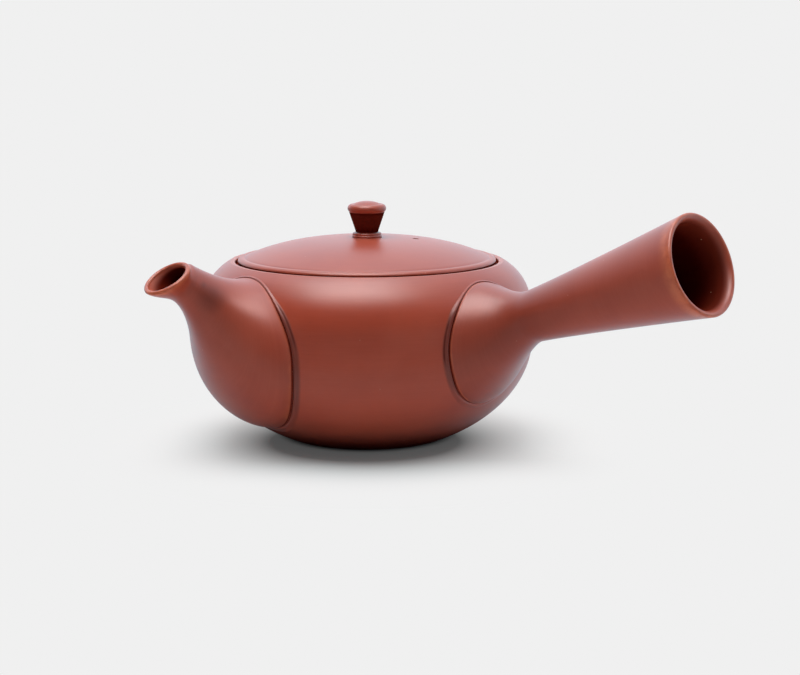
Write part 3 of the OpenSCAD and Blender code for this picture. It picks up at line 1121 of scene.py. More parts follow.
@dataclass
class LutedBranch(SubAssembly):
    """A thrown branch of the pot, luted to the body by a bell that narrows to a neck."""

    body: ThrownBody
    name: str
    node: str
    low: float
    drop: float
    half: float
    edge: float
    swell: float
    swell_top: float
    swell_low: float
    draw: float
    neck_x: float
    neck_r: float
    slope: float
    run: float
    wall: float
    root: float
    turn: float = 0.0
    slip: float = 0.1
    sides: int = 176
    face_steps: int = 5
    bell_steps: int = 44
    hollow_steps: int = 16
    hollow_swell: float = 0.5
    edge_top: float = 0.45
    edge_fade: Band = (-0.3, 0.7)
    edge_round: float = 0.3
    edge_share: float = 0.9
    edge_rub: float = 0.45
    edge_shade: float = 0.12
    bell_rub: float = 0.3
    bell_rub_to: float = 0.05

    @property
    def rise(self) -> float:
        """Half height of the base."""
        return (self.body.rim_z - self.drop - self.low) / 2.0

    @property
    def middle(self) -> float:
        """Height of the base's middle."""
        return self.low + self.rise

    @property
    def neck(self) -> Vector:
        """Middle of the neck, at the side of 0."""
        raise NotImplementedError

    def rings(self) -> list[Ring]:
        """List the rings from the luted face over the outside, round the lip and back down the hollow."""
        raise NotImplementedError

    def sweep(
        self, spot: Callable[[float, Any], Vector], stations: Iterable[Any], wear: Callable[[Any], Wear]
    ) -> list[Ring]:
        """Draw a ring of spots, with its wear, at each station along a surface of the branch."""
        angles = [math.tau * k / self.sides for k in range(self.sides)]
        return [Ring([spot(a, t) for a in angles], wear(t)) for t in stations]

    def on_base(self, a: float, half: float, rise: float, proud: float) -> Vector:
        """Find a spot on an oval round the middle of the base, proud of the body's skin."""
        return self.body.on_skin(half * math.cos(a), self.middle + rise * math.sin(a), proud)

    def _bell(self, a: float, t: float, size: Spot, edge: float, swell: float, neck_r: float) -> Vector:
        """Find a spot on the bell.

        Args:
            a: Angle round it.
            t: Share of the way from the base to the neck.
            size: Half width and half height of its base.
            edge: Height of its base above the skin.
            swell: Share of the full swell.
            neck_r: Radius at the neck.

        Returns:
            The spot.
        """
        draw = mix(self.draw, 1.0, max(0.0, math.sin(a)) ** 2)
        end_swell = self.swell_top if math.sin(a) > 0.0 else self.swell_low
        lift = edge + swell * mix(self.swell, end_swell, math.sin(a) ** 2)
        tip = ring_spot(self.neck, self.slope, neck_r, a)
        start = self.on_base(a, *size, edge)
        on = self.on_base(a, draw * size[0], draw * size[1], 0.0) + Vector((lift, 0.0, 0.0))
        return bezier([start, on, tip - along(self.slope) * self.run, tip], t)

    def bell(self, a: float, t: float) -> Vector:
        """Find a spot on the bell's outside, whose edge is tooled down at the top."""
        edge = mix(self.edge, self.edge_top, ease(*self.edge_fade, math.sin(a)))
        return self._bell(a, t, (self.half, self.rise), edge, 1.0, self.neck_r)

    def hollow(self, a: float, t: float) -> Vector:
        """Find a spot on the bell's inside."""
        return self._bell(a, t, (self.root, self.root), self.slip, self.hollow_swell, self.neck_r - self.wall)

    def face(self, a: float, t: float) -> Vector:
        """Find a spot on the luted face, from the hollow's root out to the edge of the base."""
        return self.on_base(a, mix(self.root, self.half, t), mix(self.root, self.rise, t), self.slip)

    def rounding(self, a: float, t: float) -> Vector:
        """Find a spot on the rounded edge of the base.

        Args:
            a: Angle round it.
            t: Share of the way from the edge's wall into the bell.

        Returns:
            The spot.
        """
        corner = self.bell(a, 0.0)
        down = self.face(a, 1.0) - corner
        on = self.bell(a, 1.0 / self.bell_steps) - corner
        start = corner + down.normalized() * self.edge_round
        end = corner + on.normalized() * min(self.edge_round, on.length * self.edge_share)
        return bend(start, corner, end, t)

    def face_wear(self, t: float) -> Wear:
        """Leave the luted face raw and paint shade at the foot of the edge."""
        return {Trait.INSIDE: 1.0} if t < 1.0 else {Trait.CREASE: 1.0}

    def rounding_wear(self, t: float) -> Wear:
        """Rub the rounded edge, less at its foot, where a little shade is painted."""
        if t > 0.0:
            return {Trait.WORN: self.edge_rub}
        return {Trait.WORN: self.edge_rub / 2.0, Trait.CREASE: self.edge_shade}

    def bell_wear(self, t: float) -> Wear:
        """Rub the bell beside its edge, and darken it towards the neck with dark slip and painted shade."""
        rub = self.bell_rub * (1.0 - ease(0.0, self.bell_rub_to, t))
        return {Trait.WORN: rub, Trait.IRON: self.bell_slip_and_shade(t)}

    def bell_slip_and_shade(self, t: float) -> float:
        """Give the dark slip and painted shade on the bell."""
        raise NotImplementedError

    def outside(self) -> list[Ring]:
        """List the rings from the luted face over the edge and the bell to the neck.

        Returns:
            The rings.
        """
        rings = self.sweep(self.face, shares(self.face_steps), self.face_wear)
        rings += self.sweep(self.rounding, shares(self.face_steps), self.rounding_wear)
        return rings + self.sweep(self.bell, shares(self.bell_steps)[1:], self.bell_wear)

    def build(self, shop: Workshop, clay: bpy.types.Material) -> list[bpy.types.Object]:
        """Skin the branch's rings and turn it to its place.

        Args:
            shop: The workshop.
            clay: The finish.

        Returns:
            The branch.
        """
        rings = self.rings()
        turn = spin(self.turn)
        made = [[turn @ spot for spot in ring.spots] for ring in rings]
        rows: list[Wear] = []
        travel = 0.0
        for i, ring in enumerate(rings):
            if i:
                travel += sum((p - q).length for p, q in zip(made[i], made[i - 1])) / self.sides
            rows += [{**ring.traits, Trait.TRAVEL: travel}] * self.sides
        obj = shop.loft(self.name, made, rows, clay)
        return [self.settle(obj, Carrier.POT, ClaySlot.BURNISHED, self.node)]


@dataclass
class Spout(LutedBranch):
    """The spout: a full bell that turns up into a short horn with a rounded lip."""

    name: str = "pouring_spout"
    node: str = "spout"
    low: float = 8.4
    drop: float = 2.0
    half: float = 24.8
    edge: float = 0.8
    swell: float = 10.2
    swell_top: float = 4.7
    swell_low: float = 19.0
    draw: float = 0.9
    neck_x: float = 19.3
    neck_r: float = 6.5
    slope: float = 29.0
    run: float = 13.4
    wall: float = 1.5
    root: float = 16.0
    turn: float = 96.0
    rise_to_mouth: float = 0.6
    mouth_x: float = 5.7
    mouth_z: float = 1.5
    mouth_r: float = 8.2
    mouth_slope: float = 57.0
    lip_width: float = 1.6
    lip_steps: int = 14
    lip_fade: float = 0.3
    neck_sag: float = 0.2
    flare: float = 0.55
    horn_reach: float = 0.35
    horn_steps: int = 22
    horn_rub: Band = (0.6, 1.0)
    # dark slip and painted shade, darkest at the neck
    iron: float = 0.2
    slip_and_shade_from: Band = (0.3, 0.8)
    slip_and_shade_to: Band = (0.0, 0.55)
    inner_band: Band = (0.5, 1.0)
    inner_rub: float = 0.5
    inner_clear: float = 0.8
    inner_shade: float = 0.9

    @property
    def mouth(self) -> Vector:
        """Middle of the mouth."""
        reach = self.body.radius + self.neck_x + self.mouth_x
        return Vector((reach, 0.0, self.body.rim_z + self.rise_to_mouth))

    @property
    def neck(self) -> Vector:
        """Middle of the neck."""
        lean = math.radians(self.slope)
        sag = Vector((math.sin(lean), 0.0, -math.cos(lean))) * self.neck_sag
        return self.mouth - Vector((self.mouth_x, 0.0, self.mouth_z)) + sag

    def _horn(self, a: float, t: float, neck_r: float, mouth_r: float) -> Vector:
        """Find a spot on the horn.

        Args:
            a: Angle round it.
            t: Share of the way from the neck to the mouth.
            neck_r: Radius at the neck.
            mouth_r: Radius at the mouth.

        Returns:
            The spot.
        """
        tip = ring_spot(self.neck, self.slope, neck_r, a)
        edge = ring_spot(self.mouth, self.mouth_slope, mouth_r, a)
        out = (along(self.mouth_slope) + (edge - self.mouth) * (self.flare / mouth_r)).normalized()
        reach = self.horn_reach * (edge - tip).length
        return bezier([tip, tip + along(self.slope) * reach, edge - out * reach, edge], t)

    def horn(self, a: float, t: float) -> Vector:
        """Find a spot on the horn's outside."""
        return self._horn(a, t, self.neck_r, self.mouth_r)

    def inner_horn(self, a: float, t: float) -> Vector:
        """Find a spot on the horn's inside."""
        return self._horn(a, t, self.neck_r - self.wall, self.mouth_r - self.lip_width)

    def lip(self, a: float, t: float) -> Vector:
        """Find a spot on the lip.

        Args:
            a: Angle round the mouth.
            t: Share of the way over the lip, from the outside in.

        Returns:
            The spot.
        """
        half = self.lip_width / 2.0
        reach = self.mouth_r - half + half * math.cos(math.pi * t)
        lift = along(self.mouth_slope) * (half * math.sin(math.pi * t))
        return ring_spot(self.mouth, self.mouth_slope, reach, a) + lift

    def bell_slip_and_shade(self, t: float) -> float:
        """Give the dark slip and painted shade on the bell."""
        return self.iron * ease(*self.slip_and_shade_from, t)

    def horn_wear(self, t: float) -> Wear:
        """Darken the neck with dark slip and painted shade, and rub the horn towards its lip."""
        return {Trait.WORN: ease(*self.horn_rub, t), Trait.IRON: self.iron * (1.0 - ease(*self.slip_and_shade_to, t))}

    def lip_wear(self, t: float) -> Wear:
        """Rub the lip, less towards the inside."""
        return {Trait.WORN: 1.0 - self.lip_fade * t}

    def inner_wear(self, t: float) -> Wear:
        """Leave the inside raw and darkened by painted shade, but for the part behind the lip."""
        out = ease(*self.inner_band, t)
        raw = 1.0 - self.inner_clear * out
        dark = self.inner_shade * (1.0 - out)
        return {Trait.WORN: self.inner_rub * out, Trait.INSIDE: raw, Trait.CREASE: dark}

    def hollow_wear(self, _: float) -> Wear:
        """Leave the hollow raw and darkened by painted shade."""
        return {Trait.INSIDE: 1.0, Trait.CREASE: self.inner_shade}

    def rings(self) -> list[Ring]:
        """List the rings from the luted face over the outside, round the lip and back down the hollow.

        Returns:
            The rings.
        """
        rings = self.outside()
        rings += self.sweep(self.horn, shares(self.horn_steps)[1:], self.horn_wear)
        rings += self.sweep(self.lip, shares(self.lip_steps)[1:-1], self.lip_wear)
        rings += self.sweep(self.inner_horn, reversed(shares(self.horn_steps)[1:]), self.inner_wear)
        return rings + self.sweep(self.hollow, reversed(shares(self.hollow_steps)[1:]), self.hollow_wear)


@dataclass
class SideHandle(LutedBranch):
    """The hollow side handle, which flares to an open end with a rounded lip."""

    name: str = "side_handle"
    node: str = "handle"
    low: float = 18.1
    drop: float = 3.1
    half: float = 18.8
    edge: float = 0.8
    swell: float = 3.8
    swell_top: float = 4.4
    swell_low: float = 3.8
    draw: float = 0.86
    neck_x: float = 16.9
    neck_r: float = 8.5
    slope: float = 19.4
    run: float = 7.8
    wall: float = 2.5
    root: float = 11.0
    neck_z: float = 11.4
    length: float = 66.0
    end_r: float = 16.0
    flare: float = 1.14
    lip_round: float = 0.7
    lip_crown: float = 0.9
    lip_turn: float = 0.6
    lip_depth: float = 3.0
    lip_steps: tuple[int, int] = (6, 13)
    lip_rub: float = 0.9
    lip_rub_loss: float = 0.8
    lip_rub_to: Band = (4.0, 9.0)
    lip_dark_from: Band = (10.0, 18.0)
    lip_shade: float = 0.7
    grip_steps: int = 48
    end_rub: float = 1.15
    end_rub_from: Band = (0.93, 0.98)
    # dark slip and painted shade over the whole handle, darkest at the neck
    slip_and_shade_root: float = 0.2
    slip_and_shade_neck: float = 0.36
    slip_and_shade_end: float = 0.12
    slip_and_shade_from: Band = (0.3, 1.0)
    slip_and_shade_to: Band = (0.0, 0.5)
    glimpse: float = 0.12
    glimpse_loss: float = 0.3

    @property
    def neck(self) -> Vector:
        """Middle of the neck."""
        return Vector((self.body.radius + self.neck_x, 0.0, self.middle + self.neck_z))

    @property
    def deep(self) -> float:
        """Share of the grip at which the lip's inner slope ends."""
        return 1.0 - self.lip_depth / self.length

    @cached_property
    def lip_profile(self) -> list[Spot]:
        """The lip's points, a small rounding outside and a long slope inside.

        Returns:
            Depth below the outside and height above the end of each point.
        """
        edge = self.lip_round
        out_steps, in_steps = self.lip_steps
        outside = [(edge - x, z) for x, z in arc((0.0, 0.0), edge, (0.0, 90.0), out_steps)][1:]
        bends = [
            Vector((edge, edge)),
            Vector((edge + self.lip_crown, edge)),
            Vector((self.wall, -self.lip_turn)),
            Vector((self.wall, -self.lip_depth)),
        ]
        return outside + [tuple(bezier(bends, t)) for t in shares(in_steps)[1:-1]]

    def _grip(self, a: float, t: float, inset: float) -> Vector:
        """Find a spot on the grip.

        Args:
            a: Angle round it.
            t: Share of the way from the neck to the end.
            inset: Depth below the outside.

        Returns:
            The spot.
        """
        end = self.neck + along(self.slope) * self.length
        r = mix(self.neck_r, self.end_r, t**self.flare) - inset
        return ring_spot(mix(self.neck, end, t), self.slope, r, a)

    def grip(self, a: float, t: float) -> Vector:
        """Find a spot on the grip's outside."""
        return self._grip(a, t, 0.0)

    def inner_grip(self, a: float, t: float) -> Vector:
        """Find a spot on the grip's inside."""
        return self._grip(a, t, self.wall)

    def lip(self, a: float, i: int) -> Vector:
        """Find a spot on the lip, from the number of the profile's point."""
        inset, lift = self.lip_profile[i]
        return self._grip(a, 1.0, inset) + along(self.slope) * lift

    def bell_slip_and_shade(self, t: float) -> float:
        """Give the dark slip and painted shade on the bell."""
        return mix(self.slip_and_shade_root, self.slip_and_shade_neck, ease(*self.slip_and_shade_from, t))

    def grip_wear(self, t: float) -> Wear:
        """Darken the neck with dark slip and painted shade, and rub the end."""
        iron = mix(self.slip_and_shade_neck, self.slip_and_shade_end, ease(*self.slip_and_shade_to, t))
        return {Trait.WORN: self.end_rub * ease(*self.end_rub_from, t), Trait.IRON: iron}

    def lip_wear(self, i: int) -> Wear:
        """Rub the lip outside and paint shade on it towards the hollow."""
        dark = ease(*self.lip_dark_from, i)
        rub = self.lip_rub - self.lip_rub_loss * ease(*self.lip_rub_to, i)
        return {Trait.WORN: rub, Trait.INSIDE: dark, Trait.CREASE: self.lip_shade * dark}

    def hollow_wear(self, _: float) -> Wear:
        """Leave the hollow raw and darkened by painted shade."""
        return {Trait.INSIDE: 1.0, Trait.CREASE: 1.0}

    def inner_wear(self, t: float) -> Wear:
        """Leave the inside raw and darkened by painted shade, less so behind the lip."""
        out = ease(self.deep - self.glimpse, self.deep, t)
        return {Trait.INSIDE: 1.0, Trait.CREASE: 1.0 - self.glimpse_loss * out}

    def rings(self) -> list[Ring]:
        """List the rings from the luted face over the outside, round the lip and back down the hollow.

        Returns:
            The rings.
        """
        inner = [self.deep * t for t in reversed(shares(self.grip_steps)[1:])]
        rings = self.outside()
        rings += self.sweep(self.grip, shares(self.grip_steps)[1:], self.grip_wear)
        rings += self.sweep(self.lip, range(len(self.lip_profile)), self.lip_wear)
        rings += self.sweep(self.inner_grip, inner, self.inner_wear)
        return rings + self.sweep(self.hollow, reversed(shares(self.hollow_steps)[1:]), self.hollow_wear)


@dataclass
class LutingCoil(SubAssembly):
    """The coil of slip clay that is tooled down round a luted joint and fades out at its top and foot."""

    branch: LutedBranch
    name: str
    node: str
    width: float = 2.3
    width_even: float = 0.78
    width_side: float = 0.34
    height: float = 0.6
    gap: float = 0.04
    slip: float = 0.03
    sides: int = 320
    steps: int = 18
    swell_from: Band = (0.08, 0.40)
    swell_to: Band = (0.45, 1.0)
    underside: tuple[Spot, ...] = ((0.66, -0.1), (0.33, -0.1))
    top_band: Band = (0.5, 0.93)
    top_narrow: float = 0.68
    top_low: float = 0.75
    top_clear: float = 0.93
    top_pale: float = 0.8
    foot_band: Band = (0.45, 0.95)
    foot_low: float = 0.6
    foot_clear: float = 0.5
    seam_to: Band = (0.03, 0.16)
    iron: float = 0.85
    slip_and_shade_to: Band = (0.72, 1.0)
    line_from: float = -0.3
    line_to: float = 0.6
    line_fade: float = 0.25
    line_shade: float = 0.75
    line_in: Band = (0.62, 0.74)
    line_out: Band = (0.78, 0.92)
    travel_step: float = 0.4

    def _traits(self, a: float, s: float, top: float, foot: float) -> dict[Trait, float]:
        """Paint shade on the coil's inner seam and its tooled outer line, and lay its dark slip.

        Args:
            a: Angle round the joint.
            s: Share of the way across the coil.
            top: How near the spot lies to the joint's top.
            foot: How near it lies to the joint's foot.

        Returns:
            The traits there.
        """
        seam = (1.0 - ease(*self.seam_to, s)) * (1.0 - self.top_clear * top) * (1.0 - self.foot_clear * foot)
        lined = ease(self.line_from, self.line_from + self.line_fade, math.sin(a))
        lined *= 1.0 - ease(self.line_to - self.line_fade, self.line_to, math.sin(a))
        line = ease(*self.line_in, s) * (1.0 - ease(*self.line_out, s))
        iron = self.iron * (1.0 - ease(*self.slip_and_shade_to, s)) * (1.0 - self.top_pale * top) * (1.0 - foot)
        return {Trait.IRON: iron, Trait.CREASE: max(seam, self.line_shade * line * lined)}

    def build(self, shop: Workshop, clay: bpy.types.Material) -> list[bpy.types.Object]:
        """Build and dress the coil.

        Args:
            shop: The workshop.
            clay: The finish.

        Returns:
            The coil.
        """
        branch = self.branch
        turn = spin(branch.turn)
        across = shares(self.steps)
        profile = [(s, ease(*self.swell_from, s) * (1.0 - ease(*self.swell_to, s))) for s in across]
        rings: list[list[Vector]] = []
        rows: list[Wear] = []
        for k in range(self.sides):
            a = math.tau * k / self.sides
            top = ease(*self.top_band, math.sin(a))
            foot = ease(*self.foot_band, -math.sin(a))
            width = self.width * (self.width_even + self.width_side * math.cos(a) ** 2)
            width *= 1.0 - self.top_narrow * top
            height = self.height * (1.0 - self.top_low * top) * (1.0 - self.foot_low * foot)
            ring = []
            for s, swell in (*profile, *self.underside):
                reach = self.gap + width * s
                proud = self.slip + height * swell
                ring.append(turn @ branch.on_base(a, branch.half + reach, branch.rise + reach, proud))
                rows.append({**self._traits(a, s, top, foot), Trait.TRAVEL: k * self.travel_step})
            rings.append(ring)
        obj = shop.loft(self.name, rings, rows, clay)
        return [self.settle(obj, Carrier.POT, ClaySlot.BURNISHED, self.node)]


@dataclass
class Strainer(SubAssembly):
    """The pierced clay dome inside the port."""

    body: ThrownBody
    radius: float = 17.0
    rise: float = 9.0
    thickness: float = 1.6
    pore: float = 1.6
    pitch: float = 3.3
    pore_rings: int = 4
    pores_more: int = 6
    pore_sides: int = 20
    pore_drill: float = 4.8
    raw: float = 0.6
    slip: float = 0.1
    sides: int = 96
    steps: int = 22
    least_lean: float = 0.2
    halvings: int = 40

    @property
    def curve(self) -> float:
        """Radius of the dome's sphere."""
        return (self.radius**2 + self.rise**2) / (2.0 * self.rise)

    @property
    def centre(self) -> Vector:
        """Middle of the dome's sphere."""
        wall = self.body.radius_at(self.body.port_z, -self.body.wall)
        return Vector((wall - self.rise + self.curve, 0.0, self.body.port_z))

    def on_dome(self, r: float, lean: float, a: float) -> tuple[Vector, Vector]:
        """Find a spot on the dome and its facing, from its lean off the axis and its angle round it."""
        out = Vector((-math.cos(lean), math.sin(lean) * math.cos(a), math.sin(lean) * math.sin(a)))
        return self.centre + out * r, out

    def edge(self, r: float, a: float) -> float:
        """Find where the dome meets the body's inner wall, by halving.

        Args:
            r: Distance from the sphere's middle.
            a: Angle round the axis.

        Returns:
            The angle from the dome's axis.
        """
        low, high = self.least_lean, math.pi / 2.0
        for _ in range(self.halvings):
            lean = (low + high) / 2.0
            spot, _facing = self.on_dome(r, lean, a)
            inside = math.hypot(spot.x, spot.y) < self.body.radius_at(spot.z, -self.body.wall - self.slip)
            low, high = (lean, high) if inside else (low, lean)
        return low

    def build(self, shop: Workshop, clay: bpy.types.Material) -> list[bpy.types.Object]:
        """Build, pierce and dress the strainer.

        Args:
            shop: The workshop.
            clay: The finish.

        Returns:
            The strainer.
        """
        turn = spin(self.body.spout_turn)
        angles = [math.tau * k / self.sides for k in range(self.sides)]
        inner = self.curve - self.thickness
        rings: list[list[Vector]] = []
        for r, order in ((self.curve, shares(self.steps)), (inner, reversed(shares(self.steps)))):
            ends = [(a, self.edge(r, a)) for a in angles]
            rings += [[turn @ self.on_dome(r, end * t, a)[0] for a, end in ends] for t in order]
        rows = [{Trait.INSIDE: self.raw}] * (len(rings) * self.sides)
        obj = shop.loft("strainer_dome", rings, rows, clay, joined=False)
        marks = []
        for ring in range(self.pore_rings + 1):
            pores = max(1, self.pores_more * ring)
            for k in range(pores):
                lean = ring * self.pitch / self.curve
                spot, out = self.on_dome(self.curve - self.thickness / 2.0, lean, math.tau * k / pores)
                marks.append((turn @ spot, turn @ out))
        shop.bore(obj, marks, self.pore / 2.0, self.pore_drill, self.pore_sides, clay)
        return [self.settle(obj, Carrier.POT, ClaySlot.STRAINER, "strainer")]


@dataclass
class Lid(SubAssembly):
    """The drop-in lid: flange, dome with a rolled edge and vent, collar and knob."""

    radius: float = 45.0
    seat: float = 60.4
    edge: float = 2.45
    under_round: float = 0.3
    under_steps: int = 8
    roll_width: float = 2.7
    roll_reach: float = 1.6
    roll_rise: float = 1.2
    roll_turn: float = 105.0
    roll_steps: int = 24
    groove_out: float = 0.2
    groove_in: float = 0.5
    groove_depth: float = 0.10
    groove_round: float = 0.3
    dip: float = -0.1
    rise: float = 6.65
    fullness: float = 2.7
    thickness: float = 3.4
    overhang: float = 3.8
    flange_wall: float = 2.6
    flange_height: float = 9.0
    flange_steps: int = 14
    vent_r: float = 1.15
    vent_x: float = 17.0
    vent_turn: float = 40.0
    vent_drill: float = 13.6
    vent_sides: int = 40
    collar_r: float = 5.2
    collar_h: float = 1.6
    collar_gap: float = 0.01
    collar_inset: float = 0.15
    collar_steps: int = 6
    collar_low_turn: Band = (-60.0, 50.0)
    collar_low_steps: int = 10
    collar_step_r: float = 5.0
    collar_step_h: float = 0.9
    collar_step_turn: Band = (-15.0, 105.0)
    collar_step_steps: int = 14
    collar_dish: float = 0.3
    collar_dish_out: float = 0.1
    collar_dish_round: float = 0.15
    knob_foot: float = 3.85
    knob_foot_inset: float = 0.12
    knob_foot_rise: float = 0.15
    knob_cone_from: float = 0.2
    knob_cone_r: float = 6.1
    knob_cone_h: float = 6.9
    knob_shade: float = 0.86
    knob_shade_foot: float = 0.12
    knob_shade_foot_to: Band = (0.0, 0.4)
    knob_shade_brim: float = 0.1
    knob_shade_brim_from: Band = (0.85, 1.0)
    knob_r: float = 6.72
    knob_round: float = 1.5
    knob_brim_turn: Band = (-52.0, 88.0)
    knob_brim_steps: int = 22
    knob_crown: float = 2.5
    knob_crown_share: float = 0.965
    knob_crown_power: float = 2.4
    knob_crown_steps: int = 24
    crease_r: float = 4.95
    crease_z: float = 1.45
    crease_depth: float = 0.07
    crease_round: float = 0.16
    tenon_r: float = 2.2
    tenon_d: float = 1.6
    slip: float = 0.1
    turning_pitch: float = 0.95
    turning_depth: float = 0.022
    steps: int = 56

    @property
    def dome_r(self) -> float:
        """Radius at which the dome meets the rolled edge."""
        return self.radius - self.roll_width

    @property
    def apex(self) -> float:
        """Height of the dome's top."""
        return self.seat + self.edge - self.dip + self.rise

    @property
    def collar_top(self) -> float:
        """Height of the collar's top."""
        return self.apex + self.collar_h

    @property
    def bore_r(self) -> float:
        """Radius of the bore that takes the knob's tenon."""
        return self.tenon_r + self.slip

    def dome_z(self, r: float) -> float:
        """Give the dome's height at a radius."""
        return self.apex - self.rise * (r / self.dome_r) ** self.fullness

    def flange_section(self) -> Section:
        """Draw the flange, a closed ring with a rounded foot.

        Returns:
            The section.
        """
        half = self.flange_wall / 2.0
        outer = self.radius - self.overhang
        inner = outer - self.flange_wall
        middle = (outer - half, self.seat - self.flange_height + half)
        cut = Section().wear(inside=0.6)
        cut.to(inner, self.seat).run(arc(middle, half, (180.0, 360.0), self.flange_steps))
        return cut.to(outer, self.seat).to(inner, self.seat)

    def dome_section(self) -> Section:
        """Draw the dome with its rolled edge and the socket for the knob's tenon.

        Returns:
            The section.
        """
        under = self.radius - self.overhang - self.flange_wall - self.slip
        low = self.edge - self.roll_rise
        socket = self.apex - self.tenon_d - self.slip
        cut = Section().wear(inside=0.8)
        cut.run((under * t, self.dome_z(under * t) - self.thickness) for t in shares(self.steps // 2))
        # painted shade on the underside of the lid's edge, over the seat
        cut.to(under, self.seat, self.under_round).wear(inside=0.3, crease=0.8)
        cut.run(arc((self.radius - low, self.seat + low), low, (-90.0, 0.0), self.under_steps))
        cut.wear(worn=0.12)
        for t in shares(self.roll_steps)[1:]:
            a = math.radians(self.roll_turn * t)
            r = self.radius - self.roll_reach + self.roll_reach * math.cos(a)
            cut.to(r, self.seat + low + self.roll_rise * math.sin(a))
        groove_z = self.seat + self.edge - self.groove_depth
        cut.wear(iron=0.12).to(self.dome_r + self.groove_out, groove_z, self.groove_round)
        cut.wear()
        for t in shares(self.steps)[:-1]:
            r = mix(self.dome_r - self.groove_in, self.bore_r, t)
            cut.to(r, self.dome_z(r))
        return cut.to(self.bore_r, self.apex).to(self.bore_r, socket).to(0.0, socket)

    def collar_section(self) -> Section:
        """Draw the two-stepped collar, a closed ring.

        Returns:
            The section.
        """
        low = (self.collar_h - self.collar_step_h) / 2.0
        bead = self.collar_step_h / 2.0
        dish = self.collar_top - self.collar_dish
        cut = Section().wear()
        for t in shares(self.collar_steps):
            r = mix(self.bore_r, self.collar_r - self.collar_inset, t)
            cut.to(r, self.dome_z(r) + self.collar_gap)
        middle = (self.collar_r - low, self.apex + low)
        cut.run(arc(middle, low, self.collar_low_turn, self.collar_low_steps))
        middle = (self.collar_step_r - bead, self.collar_top - bead)
        cut.run(arc(middle, bead, self.collar_step_turn, self.collar_step_steps))
        cut.wear(iron=0.5).to(self.knob_foot + self.collar_dish_out, dish, self.collar_dish_round)
        return cut.to(self.bore_r, dish).to(self.bore_r, self.dome_z(self.bore_r) + self.collar_gap)

    def knob_section(self) -> Section:
        """Draw the knob: tenon, turned cone, rounded brim and low crown with a crease.

        Returns:
            The section.
        """
        foot = self.collar_top
        brim = foot + self.knob_cone_h + self.knob_round
        lowest = self.apex - self.tenon_d
        cut = Section().wear()
        cut.to(0.0, lowest).to(self.tenon_r, lowest).to(self.tenon_r, foot)
        cut.wear(iron=0.5).to(self.knob_foot - self.knob_foot_inset, foot)
        cut.to(self.knob_foot, foot + self.knob_foot_rise)
        for t in shares(self.steps)[1:]:
            ripple = self.turning_depth * math.sin(math.tau * t * self.knob_cone_h / self.turning_pitch)
            # painted shade on the cone, as if the brim shades it
            shade = self.knob_shade + self.knob_shade_foot * (1.0 - ease(*self.knob_shade_foot_to, t))
            shade += self.knob_shade_brim * ease(*self.knob_shade_brim_from, t)
            z = foot + mix(self.knob_cone_from, self.knob_cone_h, t)
            cut.wear(iron=0.1, crease=shade).to(mix(self.knob_foot, self.knob_cone_r, t) + ripple, z)
        middle = (self.knob_r - self.knob_round, brim)
        cut.wear(worn=0.05).run(arc(middle, self.knob_round, self.knob_brim_turn, self.knob_brim_steps))
        cut.wear(iron=0.15).to(self.crease_r, brim + self.crease_z - self.crease_depth, self.crease_round)
        cut.wear()
        rise = self.knob_crown - self.crease_z
        for t in reversed(shares(self.knob_crown_steps)[:-1]):
            z = brim + self.crease_z + rise * (1.0 - t**self.knob_crown_power)
            cut.to(self.crease_r * self.knob_crown_share * t, z)
        return cut

    def build(self, shop: Workshop, clay: bpy.types.Material) -> list[bpy.types.Object]:
        """Build and dress the four pieces of the lid.

        Args:
            shop: The workshop.
            clay: The finish.

        Returns:
            The pieces.
        """
        flange = shop.finish(shop.throw("lid_flange_ring", self.flange_section(), clay))
        dome = shop.throw("lid_cap", self.dome_section(), clay)
        vent = around(self.vent_x, self.vent_turn, self.dome_z(self.vent_x))
        shop.bore(dome, [(vent, UP)], self.vent_r, self.vent_drill, self.vent_sides, clay)
        collar = shop.finish(shop.throw("knob_ring", self.collar_section(), clay))
        knob = shop.finish(shop.throw("lid_knob", self.knob_section(), clay))
        return [
            self.settle(flange, Carrier.LID_RING, ClaySlot.BURNISHED, "lid_flange"),
            self.settle(dome, Carrier.LID, ClaySlot.BURNISHED, "lid_dome"),
            self.settle(collar, Carrier.LID, ClaySlot.BURNISHED, "knob_collar"),
            self.settle(knob, Carrier.LID, ClaySlot.BURNISHED, "knob"),
        ]


